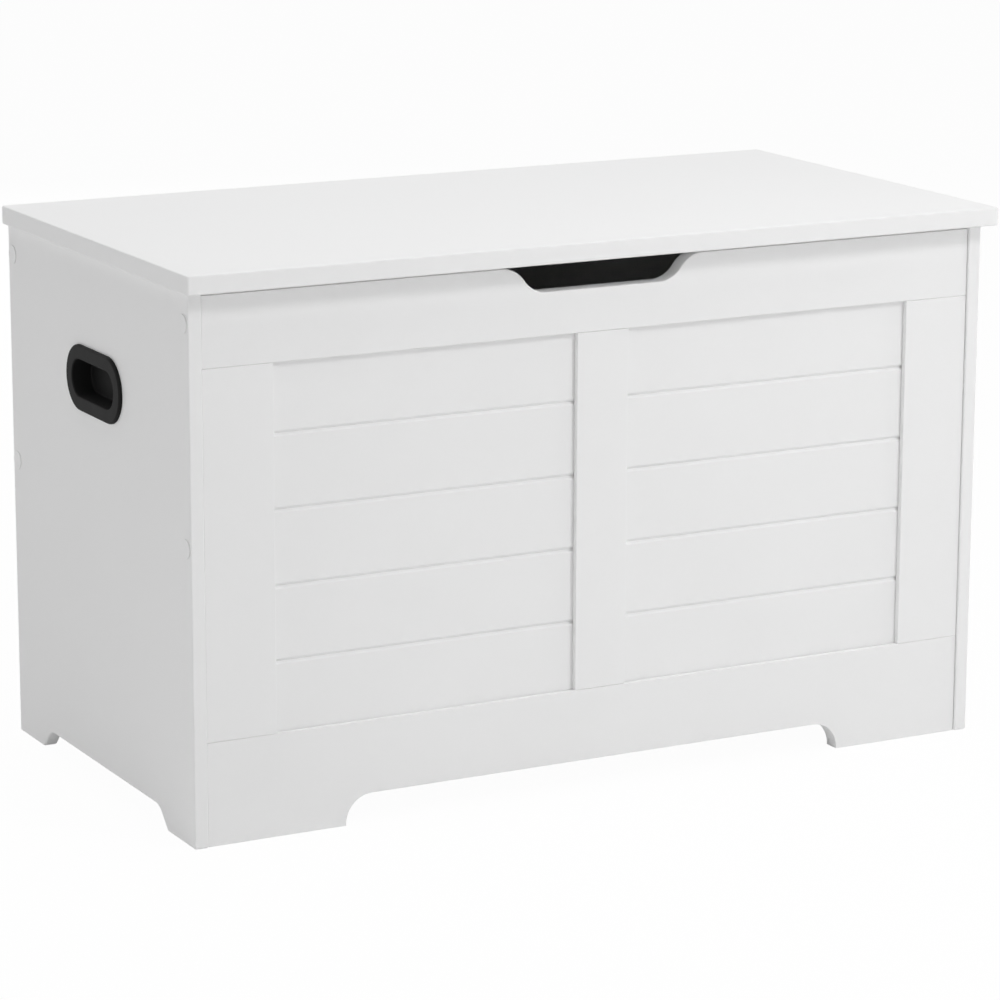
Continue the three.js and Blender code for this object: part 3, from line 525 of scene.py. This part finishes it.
def close():
    bpy.ops.object.mode_set(mode="OBJECT")


def take(kind, test):
    """In edit mode, selects only the faces or edges that pass a test."""
    bpy.ops.mesh.select_mode(type={"faces": "FACE", "edges": "EDGE"}[kind])
    bpy.ops.mesh.select_all(action="DESELECT")
    data = bpy.context.object.data
    shape = bmesh.from_edit_mesh(data)
    for part in getattr(shape, kind):
        part.select_set(test(part))
    bmesh.update_edit_mesh(data)


def facing(direction, beyond=None):
    """A test for faces that look in a direction and, if asked, lie beyond a distance along it."""
    direction = Vector(direction)

    def test(face):
        far = beyond is None or face.calc_center_median().dot(direction) > beyond
        return face.normal.dot(direction) > ALIKE and far

    return test


def along(axis):
    """A test for edges that run along X, Y or Z."""
    index = "XYZ".index(axis)

    def test(edge):
        run = (edge.verts[1].co - edge.verts[0].co).normalized()
        return abs(run[index]) > ALIKE

    return test


def block(name, low, high):
    """A block between two corners."""
    low, high = Vector(low), Vector(high)
    deselect_all()
    bpy.ops.mesh.primitive_cube_add(size=1, location=(low + high) / 2, scale=high - low)
    piece = bpy.context.object
    piece.name = name
    bpy.ops.object.transform_apply(location=True, rotation=True, scale=True)
    return piece


def rod(start, end, radius):
    """A plain round rod between two points that lie along one axis."""
    start, end = Vector(start), Vector(end)
    run = end - start
    turn = run.to_track_quat("Z", "Y").to_euler()
    deselect_all()
    bpy.ops.mesh.primitive_cylinder_add(
        vertices=ROD_FACETS, radius=radius, depth=run.length,
        location=(start + end) / 2, rotation=turn)
    bpy.ops.object.transform_apply(location=True, rotation=True, scale=True)
    return bpy.context.object


def copied(piece, name):
    """A copy of a piece with a mesh of its own."""
    made = piece.copy()
    made.data = piece.data.copy()
    made.name = name
    bpy.context.scene.collection.objects.link(made)
    return made


def moved(piece, place, turn=(0, 0, 0)):
    """Turns a piece by angles about X, Y and Z, sets it in place, and keeps both in its mesh."""
    pick(piece)
    piece.rotation_euler = turn
    piece.location = place
    bpy.ops.object.transform_apply(location=True, rotation=True, scale=True)
    return piece


def arc(centre, angle):
    """A stroke that goes round a centre, anticlockwise for a positive angle."""
    return {"centre": centre, "angle": angle}


def drawn(name, start, strokes, place):
    """Draws an open line from a start, in edit mode. A stroke is the next point, or an arc. place
    turns the drawing's two coordinates into a point in the room. The piece stays in edit mode."""
    across = place(1, 0) - place(0, 0)
    up = place(0, 1) - place(0, 0)
    deselect_all()
    bpy.ops.mesh.primitive_plane_add(size=MM, location=place(*start))
    piece = bpy.context.object
    piece.name = name
    bpy.ops.object.transform_apply(location=True, rotation=True, scale=True)
    bpy.ops.object.mode_set(mode="EDIT")
    bpy.ops.mesh.select_mode(type="VERT")
    bpy.ops.mesh.select_all(action="SELECT")
    bpy.ops.mesh.merge(type="CENTER")
    tip = Vector(start)
    for stroke in strokes:
        if isinstance(stroke, dict):
            centre = Vector(stroke["centre"])
            steps = max(2, round(abs(stroke["angle"]) / ARC_STEP))
            # The operator turns clockwise for a positive angle.
            bpy.ops.mesh.spin(
                steps=steps, angle=-stroke["angle"], center=place(*centre), axis=across.cross(up))
            tip = centre + Matrix.Rotation(stroke["angle"], 2) @ (tip - centre)
        else:
            step = place(*stroke) - place(*tip)
            bpy.ops.mesh.extrude_region_move(TRANSFORM_OT_translate={"value": step})
            tip = Vector(stroke)
    bpy.ops.mesh.select_all(action="SELECT")
    bpy.ops.mesh.remove_doubles(threshold=MERGED)
    return piece


def sawn(name, start, strokes, place, thickness):
    """A board sawn to a drawn outline, whose thickness is a vector."""
    piece = drawn(name, start, strokes, place)
    bpy.ops.mesh.edge_face_add()
    bpy.ops.mesh.extrude_region_move(TRANSFORM_OT_translate={"value": thickness})
    bpy.ops.mesh.select_all(action="SELECT")
    bpy.ops.mesh.normals_make_consistent(inside=False)
    close()
    return piece


def turned(name, profile, facets=TURNED_FACETS):
    """A piece turned about the X axis from a half profile of (x, radius) points."""
    piece = drawn(name, profile[0], profile[1:], lambda x, radius: Vector((x, radius, 0)))
    bpy.ops.mesh.spin(steps=facets, angle=2 * math.pi, center=(0, 0, 0), axis=(1, 0, 0))
    bpy.ops.mesh.select_all(action="SELECT")
    bpy.ops.mesh.remove_doubles(threshold=MERGED)
    bpy.ops.mesh.normals_make_consistent(inside=False)
    close()
    return piece


def apply_modifier(piece, kind, **settings):
    pick(piece)
    modifier = piece.modifiers.new(kind.lower(), kind)
    for name, value in settings.items():
        setattr(modifier, name, value)
    bpy.ops.object.modifier_apply(modifier=modifier.name)


def carve(piece, *tools, operation="DIFFERENCE"):
    """Cuts tools out of a piece, or joins them to it with operation UNION, and uses them up."""
    for tool in tools:
        apply_modifier(piece, "BOOLEAN", operation=operation, solver="EXACT", object=tool)
        bpy.data.objects.remove(tool)


def soften(piece, radius, steps):
    """Rounds every real edge of a piece, and leaves its curves as they are."""
    apply_modifier(
        piece, "BEVEL", width=radius, segments=steps,
        limit_method="ANGLE", angle_limit=ROUNDED_FROM)


def round_edges(piece, test, radius, steps):
    """Rounds the edges that pass a test, in edit mode."""
    edit(piece)
    take("edges", test)
    bpy.ops.mesh.bevel(offset=radius, segments=steps, affect="EDGES")
    close()


def smooth(piece):
    """Shades the curves smooth and keeps the flat faces flat."""
    pick(piece)
    bpy.ops.object.shade_smooth_by_angle(angle=SHARP_FROM)
    apply_modifier(piece, "WEIGHTED_NORMAL", keep_sharp=True, weight=FLAT_FACE_WEIGHT)


def fit(piece, body, slot, *nodes):
    """Gives a finished piece its finish, and its place in the assembly instead of the nodes."""
    smooth(piece)
    piece.data.name = piece.name
    piece.data.materials.clear()
    piece.data.materials.append(FINISHES[slot])
    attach(piece, body)
    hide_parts(*nodes)


# ---- Boards --------------------------------------------------------------------------------------


def front_plane(y):
    """Places a drawing of X and Z at a depth."""
    return lambda x, z: Vector((x, y, z))


def side_plane(x):
    """Places a drawing of Y and Z at one side."""
    return lambda y, z: Vector((x, y, z))


def outwards(side):
    """The direction out of one side of the chest."""
    return Vector((SIDES[side], 0, 0))


def screw_holes(side, row):
    """Tools for the holes of one side's connecting screws and dowel, in the front or back row."""
    out = outwards(side)
    face = abs(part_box("side_panel_" + side)[0 if side == "left" else 1].x)
    tools = []
    for level in ("upper", "lower"):
        low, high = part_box(f"connecting_screw_{side}_{row}_{level}")
        middle = (low + high) / 2
        middle.x = 0
        mouth = middle + out * (face + OVERREACH)
        sunk = middle + out * (face - SCREW_COUNTERBORE)
        through = middle + out * (face - SIDE_THICKNESS - CLEARANCE)
        end = middle + out * (min(abs(low.x), abs(high.x)) - CLEARANCE)
        tools.append(rod(mouth, sunk, SCREW_HEAD))
        tools.append(rod(mouth, through, SCREW_SHANK))
        tools.append(rod(mouth, end, SCREW_THREAD))
    low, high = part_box(f"dowel_{side}_{row}")
    middle = (low + high) / 2
    reach = Vector(((high.x - low.x) / 2 + CLEARANCE, 0, 0))
    tools.append(rod(middle - reach, middle + reach, DOWEL_HOLE))
    return tools


def bottom_groove():
    """A tool as large as the bottom panel with its clearance."""
    low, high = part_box("bottom_panel")
    room = Vector((2 * CLEARANCE, 2 * CLEARANCE, CLEARANCE))
    return block("groove", low - room, high + room)


def lid_board():
    board = block("lid_board", *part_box("lid"))
    round_edges(board, along("Z"), LID_CORNER, CORNER_STEPS)
    soften(board, LID_ARRIS, WIDE_STEPS)
    carve(board, *leaf_screw_holes("lid"))
    fit(board, "lid", "white_painted_board", "lid")


def side_board(side):
    """A side with an arch between its feet, and a window for the carrying cup."""
    low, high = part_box("side_panel_" + side)
    fillet = SIDE_ARCH_FILLET
    half = SIDE_ARCH_SLANT / 2
    run = SIDE_FOOT + SIDE_ARCH_HEIGHT / math.tan(SIDE_ARCH_SLANT) + fillet * math.tan(half)
    centre_z = SIDE_ARCH_HEIGHT - fillet
    slant_end = low.y + run - fillet * math.sin(SIDE_ARCH_SLANT)
    strokes = [
        (low.y + SIDE_FOOT, 0),
        (slant_end, centre_z + fillet * math.cos(SIDE_ARCH_SLANT)),
        arc((low.y + run, centre_z), -SIDE_ARCH_SLANT),
        (high.y - run, SIDE_ARCH_HEIGHT),
        arc((high.y - run, centre_z), -SIDE_ARCH_SLANT),
        (high.y - SIDE_FOOT, 0),
        (high.y, 0),
        (high.y, high.z),
        (low.y, high.z),
    ]
    thickness = Vector((high.x - low.x, 0, 0))
    board = sawn("side_board_" + side, (low.y, 0), strokes, side_plane(low.x), thickness)
    soften(board, SIDE_ARRIS, WIDE_STEPS)
    length, height = (size + 2 * (HANDLE_WALL + CLEARANCE) for size in HANDLE_OPENING)
    start, opening = stadium(length, height)
    through = Vector((thickness.x + 2 * OVERREACH, 0, 0))
    window = sawn("window", start, opening, side_plane(0), through)
    cup_low, cup_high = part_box("handle_" + side)
    middle = (cup_low + cup_high) / 2
    moved(window, (low.x - OVERREACH, middle.y, middle.z))
    holes = screw_holes(side, "front") + screw_holes(side, "back")
    carve(board, window, bottom_groove(), *holes)
    fit(board, "chest", "white_painted_board", "side_panel_" + side)


def slat_groove():
    """A tool that runs all across the front in the plane of the infill panels."""
    left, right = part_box("slat_panel_left"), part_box("slat_panel_right")
    room = Vector((OVERREACH, CLEARANCE, CLEARANCE))
    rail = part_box("front_top_rail")
    low = Vector((rail[0].x, left[0].y, left[0].z)) - room
    high = Vector((rail[1].x, right[1].y, right[1].z)) + room
    return block("groove", low, high)


def top_rail_board():
    """The top of the front, with the finger slot: a flat between two S-shaped ends."""
    low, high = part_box("front_top_rail")
    flat = SLOT_FLAT / 2
    shoulder = flat + SLOT_END
    floor = high.z - SLOT_DEPTH
    sweep = 2 * math.atan2(SLOT_DEPTH, SLOT_END)
    radius = SLOT_END / (2 * math.sin(sweep))
    strokes = [
        (high.x, low.z),
        (high.x, high.z),
        (shoulder, high.z),
        arc((shoulder, high.z - radius), sweep),
        arc((flat, floor + radius), -sweep),
        (-flat, floor),
        arc((-flat, floor + radius), -sweep),
        arc((-shoulder, high.z - radius), sweep),
        (low.x, high.z),
    ]
    thickness = Vector((0, high.y - low.y, 0))
    board = sawn("top_rail_board", (low.x, low.z), strokes, front_plane(low.y), thickness)

    def top_of_front(edge):
        return all(abs(v.co.y - low.y) < LEVEL and v.co.z > floor - LEVEL for v in edge.verts)

    round_edges(board, top_of_front, SLOT_ARRIS, WIDE_STEPS)
    soften(board, FRAME_ARRIS, SMALL_STEPS)
    carve(board, slat_groove(), *screw_holes("left", "front"), *screw_holes("right", "front"))
    fit(board, "chest", "white_painted_board", "front_top_rail")


def plinth_board():
    """The bottom of the front, with an arch between its feet."""
    low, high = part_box("front_plinth_rail")
    arch = high.x - PLINTH_FOOT
    fillet = PLINTH_ARCH_FILLET
    spring = PLINTH_ARCH_HEIGHT - fillet
    quarter = math.pi / 2
    strokes = [
        (-arch, 0),
        (-arch, spring),
        arc((-arch + fillet, spring), -quarter),
        (arch - fillet, PLINTH_ARCH_HEIGHT),
        arc((arch - fillet, spring), -quarter),
        (arch, 0),
        (high.x, 0),
        (high.x, high.z),
        (low.x, high.z),
    ]
    thickness = Vector((0, high.y - low.y, 0))
    board = sawn("plinth_board", (low.x, 0), strokes, front_plane(low.y), thickness)
    soften(board, FRAME_ARRIS, SMALL_STEPS)
    holes = screw_holes("left", "front") + screw_holes("right", "front")
    carve(board, slat_groove(), bottom_groove(), *holes)
    fit(board, "chest", "white_painted_board", "front_plinth_rail")


def stile_board(name, grooves):
    """An upright of the front, with a groove in each edge named and a tongue at each end."""
    low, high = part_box("front_stile_" + name)
    rail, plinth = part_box("front_top_rail")[0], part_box("front_plinth_rail")[1]
    slat_low, slat_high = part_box("slat_panel_left")
    body_low = Vector((low.x, low.y, plinth.z + SEAM))
    body_high = Vector((high.x, high.y, rail.z - SEAM))
    board = block(f"stile_board_{name}", body_low, body_high)
    soften(board, FRAME_ARRIS, SMALL_STEPS)
    shoulder = TONGUE + 2 * CLEARANCE
    tongue_low = Vector((low.x + (shoulder if "left" in grooves else 0), slat_low.y, low.z))
    tongue_high = Vector((high.x - (shoulder if "right" in grooves else 0), slat_high.y, high.z))
    carve(board, block("tongue", tongue_low, tongue_high), operation="UNION")
    depth = TONGUE + CLEARANCE
    for edge in grooves:
        x = low.x if edge == "left" else high.x
        groove_low = Vector((x - depth, slat_low.y - CLEARANCE, low.z - OVERREACH))
        groove_high = Vector((x + depth, slat_high.y + CLEARANCE, high.z + OVERREACH))
        carve(board, block("groove", groove_low, groove_high))
    if name in SIDES:
        carve(board, *screw_holes(name, "front"))
    fit(board, "chest", "white_painted_board", "front_stile_" + name)


def slat_board(side):
    """An infill panel whose V-grooves make it look like separate slats."""
    low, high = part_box("slat_panel_" + side)
    pitch = (high.z - low.z) / SLAT_COUNT
    half = SLAT_V_WIDTH / 2
    strokes = [(high.y, high.z), (low.y, high.z)]
    for joint in range(SLAT_COUNT - 1, 0, -1):
        z = low.z + joint * pitch
        strokes += [(low.y, z + half), (low.y + SLAT_V_DEPTH, z), (low.y, z - half)]
    strokes.append((low.y, low.z))
    length = Vector((high.x - low.x, 0, 0))
    board = sawn("slat_board_" + side, (high.y, low.z), strokes, side_plane(low.x), length)
    soften(board, SLAT_ARRIS, FINE_STEPS)
    fit(board, "chest", "white_painted_board", "slat_panel_" + side)


def back_board():
    board = block("back_board", *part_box("back_panel"))
    soften(board, BACK_ARRIS, SMALL_STEPS)
    holes = screw_holes("left", "back") + screw_holes("right", "back")
    carve(board, bottom_groove(), *holes, *leaf_screw_holes("back"))
    fit(board, "chest", "white_painted_board", "back_panel")


def bottom_board():
    board = block("bottom_board", *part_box("bottom_panel"))
    soften(board, BOTTOM_ARRIS, FINE_STEPS)
    fit(board, "chest", "white_painted_board", "bottom_panel")


# ---- Carrying cups, caps and bumpers -------------------------------------------------------------


def stadium(length, height):
    """The start and strokes of a slot shape with half-round ends, about its middle."""
    radius = height / 2
    middle = length / 2 - radius
    strokes = [
        (middle, -radius),
        arc((middle, 0), math.pi),
        (-middle, radius),
        arc((-middle, 0), math.pi),
    ]
    return (-middle, -radius), strokes


def loop_at(x, length, height):
    """A test for the edges of a slot-shaped loop of a given size at one X."""
    spine = (length - height) / 2

    def off(point):
        return math.hypot(max(abs(point.y) - spine, 0), point.z) - height / 2

    def test(edge):
        return all(abs(v.co.x - x) < LEVEL and abs(off(v.co)) < LOOP_SLACK for v in edge.verts)

    return test


def carrying_cup():
    """A cup that faces -X, with the back of its flange at X = 0 and its middle on the X axis."""
    low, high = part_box("handle_left")
    length, height = high.y - low.y, high.z - low.z
    start, strokes = stadium(length, height)
    cup = sawn("carrying_cup", start, strokes, side_plane(0), Vector((-HANDLE_FLANGE, 0, 0)))
    rim = (height - HANDLE_OPENING[1]) / 2
    short = HANDLE_OPENING[0] / (length - 2 * rim)
    floor = HANDLE_DEPTH - HANDLE_FLANGE
    edit(cup)
    take("faces", facing((-1, 0, 0)))
    bpy.ops.mesh.inset(thickness=rim)
    bpy.ops.transform.resize(value=(1, short, 1), center_override=(-HANDLE_FLANGE, 0, 0))
    bpy.ops.mesh.extrude_region_move(TRANSFORM_OT_translate={"value": (HANDLE_DEPTH, 0, 0)})
    draft = [1 - 2 * HANDLE_DRAFT / size for size in HANDLE_OPENING]
    bpy.ops.transform.resize(value=(1, *draft), center_override=(floor, 0, 0))
    take("faces", facing((1, 0, 0)))
    bpy.ops.mesh.inset(thickness=rim - HANDLE_WALL)
    bpy.ops.transform.resize(value=(1, short, 1), center_override=(0, 0, 0))
    bpy.ops.mesh.extrude_region_move(TRANSFORM_OT_translate={"value": (floor + HANDLE_WALL, 0, 0)})
    close()
    outside = [size + 2 * HANDLE_WALL for size in HANDLE_OPENING]
    round_edges(cup, loop_at(-HANDLE_FLANGE, length, height), HANDLE_ROUND, WIDE_STEPS)
    round_edges(cup, loop_at(-HANDLE_FLANGE, *HANDLE_OPENING), HANDLE_LIP, MIDDLE_STEPS)
    round_edges(cup, loop_at(floor, *HANDLE_OPENING), HANDLE_FILLET, MIDDLE_STEPS)
    round_edges(cup, loop_at(floor + HANDLE_WALL, *outside), HANDLE_WALL, MIDDLE_STEPS)
    thick, reach, width = HANDLE_LUG
    behind = SIDE_THICKNESS + CLEARANCE
    for end in (-1, 1):
        root = end * (HANDLE_OPENING[0] + HANDLE_WALL) / 2
        tip = end * (HANDLE_OPENING[0] / 2 + HANDLE_WALL + reach)
        lug_low = (behind, min(root, tip), -width / 2)
        lug_high = (behind + thick, max(root, tip), width / 2)
        carve(cup, block("lug", lug_low, lug_high), operation="UNION")
    return cup


def carrying_cups():
    pattern = carrying_cup()
    for side, sign in SIDES.items():
        low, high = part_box("handle_" + side)
        middle = (low + high) / 2
        flange_back = (high.x if sign > 0 else low.x) - sign * HANDLE_FLANGE
        cup = copied(pattern, "carrying_cup_" + side)
        moved(cup, (flange_back, middle.y, middle.z), (0, 0, 0 if sign < 0 else math.pi))
        fit(cup, "chest", "black_abs", "handle_" + side)
    bpy.data.objects.remove(pattern)


def cover_caps():
    """Thin discs with a rounded rim, over the heads of the connecting screws."""
    low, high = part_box("cover_cap_left_front_upper")
    radius = (high.y - low.y) / 2
    pattern = turned("cover_cap", [
        (0, 0),
        (0, radius),
        (CAP_ROUND - CAP_THICKNESS, radius),
        arc((CAP_ROUND - CAP_THICKNESS, radius - CAP_ROUND), math.pi / 2),
        (-CAP_THICKNESS, 0),
    ], CAP_FACETS)
    for side, sign in SIDES.items():
        for row in ("front", "back"):
            for level in ("upper", "lower"):
                place = f"{side}_{row}_{level}"
                low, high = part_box("cover_cap_" + place)
                middle = (low + high) / 2
                middle.x = low.x if sign > 0 else high.x
                cap = copied(pattern, "screw_cap_" + place)
                moved(cap, middle, (0, 0, 0 if sign < 0 else math.pi))
                fit(cap, "chest", "white_cap_film", "cover_cap_" + place)
    bpy.data.objects.remove(pattern)


def bumpers():
    """Soft clear pads with a domed top, on the top edges of the sides."""
    low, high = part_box("lid_bumper_left_front")
    radius, height = (high.x - low.x) / 2, high.z - low.z
    pattern = turned("bumper", [
        (0, 0),
        (0, radius),
        (height - BUMPER_ROUND, radius),
        arc((height - BUMPER_ROUND, radius - BUMPER_ROUND), -math.pi / 2),
        (height, 0),
    ], BUMPER_FACETS)
    for side in SIDES:
        for row in ("front", "back"):
            low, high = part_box(f"lid_bumper_{side}_{row}")
            middle = (low + high) / 2
            middle.z = low.z
            pad = copied(pattern, f"bumper_{side}_{row}")
            moved(pad, middle, (0, -math.pi / 2, 0))
            fit(pad, "chest", "clear_bumper", f"lid_bumper_{side}_{row}")
    bpy.data.objects.remove(pattern)


# ---- Hinges --------------------------------------------------------------------------------------


def hinge_axis(side):
    """The middle of a hinge's pin."""
    low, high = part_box(f"hinge_{side}_pin")
    return (low + high) / 2


def leaf_screws(side, leaf):
    """Each screw's node name, the middle of its head's face, and the direction that it goes in."""
    into = Vector((0, 0, 1)) if leaf == "lid" else Vector((0, -1, 0))
    for number in (1, 2, 3):
        name = f"hinge_{side}_{leaf}_screw_{number}"
        low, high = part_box(name)
        middle = (low + high) / 2
        back = (high - low).dot(into) / 2
        yield name, middle - into * abs(back), into


def leaf_screw_holes(leaf):
    """Tools for the holes of both hinges' screws in the lid or the back."""
    tools = []
    for side in SIDES:
        for _, head, into in leaf_screws(side, leaf):
            deep = head + into * (LEAF_SCREW_LENGTH + CLEARANCE)
            tools.append(rod(head, deep, LEAF_SCREW_CREST + CLEARANCE))
            tools.append(rod(head, head + into * PILOT_SINK, PILOT_SINK_RADIUS))
    return tools


def hinge_leaf(rolls):
    """A leaf about a pin that runs along X through the origin. It lies flat above the pin's side
    towards -Y, and rolls round the pin at each stretch of X in rolls."""
    low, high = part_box("hinge_left_lid_leaf")
    half = (high.x - low.x) / 2
    inside = KNUCKLE_RADIUS - LEAF_THICKNESS
    near = KNUCKLE_RADIUS + KNUCKLE_GAP
    far = hinge_axis("left").y - low.y
    leaf = block("hinge_leaf", (-half, -far, inside), (half, -near, KNUCKLE_RADIUS))
    upright = along("Z")

    def outer_corner(edge):
        return upright(edge) and edge.verts[0].co.y < -near - LEVEL

    round_edges(leaf, outer_corner, LEAF_CORNER, CORNER_STEPS)
    edit(leaf)
    for ends in rolls:
        for x in ends:
            if abs(x) < half:
                bpy.ops.mesh.select_all(action="SELECT")
                bpy.ops.mesh.bisect(plane_co=(x, 0, 0), plane_no=(1, 0, 0))

    def roll_start(face):
        middle = face.calc_center_median()
        return face.normal.y > ALIKE and any(x0 < middle.x < x1 for x0, x1 in rolls)

    take("faces", roll_start)
    bpy.ops.mesh.extrude_region_move(TRANSFORM_OT_translate={"value": (0, near, 0)})
    bpy.ops.mesh.spin(steps=ROLL_STEPS, angle=ROLL_ANGLE, center=(0, 0, 0), axis=(1, 0, 0))
    bpy.ops.mesh.select_all(action="SELECT")
    bpy.ops.mesh.normals_make_consistent(inside=False)
    close()
    return leaf


def countersinks(piece, side, leaf):
    """Cuts a leaf's screw holes, with the cone that each screw's head sits in."""
    head_room = LEAF_SCREW_HEAD + CLEARANCE
    shank_room = LEAF_SCREW_CREST + CLEARANCE
    tools = []
    for _, head, into in leaf_screws(side, leaf):
        sink = turned("sink", [
            (-OVERREACH, 0),
            (-OVERREACH, head_room),
            (0, head_room),
            (LEAF_SCREW_HEAD_DEPTH, shank_room),
            (LEAF_SCREW_LENGTH, shank_room),
            (LEAF_SCREW_LENGTH, 0),
        ])
        tools.append(moved(sink, head, into.to_track_quat("X", "Z").to_euler()))
    carve(piece, *tools)


def leaf_screw():
    """A countersunk wood screw that goes in along +X, with a cross recess. The thread's turns are
    drawn as rings."""
    start = LEAF_SCREW_HEAD_DEPTH + LEAF_SCREW_NECK
    profile = [
        (0, 0),
        (0, LEAF_SCREW_HEAD),
        (LEAF_SCREW_RIM, LEAF_SCREW_HEAD),
        (LEAF_SCREW_HEAD_DEPTH, LEAF_SCREW_ROOT),
        (start, LEAF_SCREW_ROOT),
    ]
    thread = LEAF_SCREW_LENGTH - LEAF_SCREW_TIP - start
    for ring in range(int(thread / LEAF_SCREW_PITCH)):
        x = start + ring * LEAF_SCREW_PITCH
        profile.append((x + LEAF_SCREW_PITCH / 2, LEAF_SCREW_CREST))
        profile.append((x + LEAF_SCREW_PITCH, LEAF_SCREW_ROOT))
    profile.append((LEAF_SCREW_LENGTH, 0))
    screw = turned("leaf_screw", profile, ROD_FACETS)
    reach, half = CROSS_LENGTH / 2, CROSS_WIDTH / 2
    for y, z in ((reach, half), (half, reach)):
        carve(screw, block("cross", (-OVERREACH, -y, -z), (CROSS_DEPTH, y, z)))
    return screw


def hinge_pin(side):
    """A pin with a domed head at each end."""
    low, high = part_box(f"hinge_{side}_pin")
    half = (high.x - low.x) / 2
    head = (high.z - low.z) / 2
    leaf_low, leaf_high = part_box(f"hinge_{side}_back_leaf")
    shaft = (leaf_high.x - leaf_low.x) / 2 + PIN_PLAY
    pin = turned("pin_" + side, [
        (-half, 0),
        (-half, head - PIN_ROUND),
        arc((PIN_ROUND - half, head - PIN_ROUND), -math.pi / 2),
        (-shaft, head),
        (-shaft, PIN_RADIUS),
        (shaft, PIN_RADIUS),
        (shaft, head),
        (half - PIN_ROUND, head),
        arc((half - PIN_ROUND, head - PIN_ROUND), -math.pi / 2),
        (half, 0),
    ])
    moved(pin, hinge_axis(side))
    fit(pin, "chest", "zinc_plated_steel", f"hinge_{side}_pin")


def hinges():
    low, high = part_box("hinge_left_back_leaf")
    half = (high.x - low.x) / 2
    centre = CENTRE_KNUCKLE / 2
    patterns = {
        "lid": (hinge_leaf([(KNUCKLE_GAP - centre, centre - KNUCKLE_GAP)]), "lid", 0),
        "back": (hinge_leaf([(-half, -centre), (centre, half)]), "chest", math.pi / 2),
    }
    screw_pattern = leaf_screw()
    for side in SIDES:
        hinge_pin(side)
        for name, (pattern, body, turn) in patterns.items():
            leaf = copied(pattern, f"leaf_{side}_{name}")
            moved(leaf, hinge_axis(side), (turn, 0, 0))
            countersinks(leaf, side, name)
            soften(leaf, LEAF_ARRIS, FINE_STEPS)
            fit(leaf, body, "zinc_plated_steel", f"hinge_{side}_{name}_leaf")
            for number, (node_name, head, into) in enumerate(leaf_screws(side, name), 1):
                screw = copied(screw_pattern, f"leaf_screw_{side}_{name}_{number}")
                moved(screw, head, into.to_track_quat("X", "Z").to_euler())
                fit(screw, body, "zinc_plated_steel", node_name)
    bpy.data.objects.remove(screw_pattern)
    for pattern, _, _ in patterns.values():
        bpy.data.objects.remove(pattern)


# ---- Hidden fasteners, kept as the frame has them ------------------------------------------------


def kept_nodes():
    slots = {
        "connecting_screw": "zinc_plated_steel",
        "dowel": "beech_dowel",
        "hinge_left_friction": "spring_steel",
        "hinge_right_friction": "spring_steel",
    }
    for name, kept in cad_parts.items():
        for start, slot in slots.items():
            if name.startswith(start):
                kept.material_slots[0].material = FINISHES[slot]


# ---- Making --------------------------------------------------------------------------------------

bpy.context.scene.view_settings.view_transform = "Standard"

FINISHES = {
    "white_painted_board": satin_lacquer_on_mdf(),
    "black_abs": moulded_black_abs(),
    "zinc_plated_steel": bright_zinc_plate(),
    "spring_steel": blued_spring_steel(),
    "white_cap_film": white_vinyl_film(),
    "clear_bumper": clear_polyurethane(),
    "beech_dowel": turned_beech(),
}

camera()
white_room()
white_floor()
lamp("key", (0.7, -1.7, 2), 0.5, 15.8)
lamp("front", (0.6, -1.4, 0.9), 0.8, 3)
lamp("front_left", (-1.75, -2.95, 0.85), 0.8, 7.5)
lamp("left", (-3, -0.3, 0.8), 2, 16.6)
lamp("right", (2.7, -0.7, 0.9), 1.5, 15)
lamp("back", (0.3, 2.8, 1.3), 2, 30)
lamp("top", (0, -0.3, 3.2), 2.4, 33)

lid_board()
for side in SIDES:
    side_board(side)
    slat_board(side)
top_rail_board()
plinth_board()
stile_board("left", ["right"])
stile_board("centre", ["left", "right"])
stile_board("right", ["left"])
back_board()
bottom_board()
carrying_cups()
cover_caps()
bumpers()
hinges()
kept_nodes()

deselect_all()
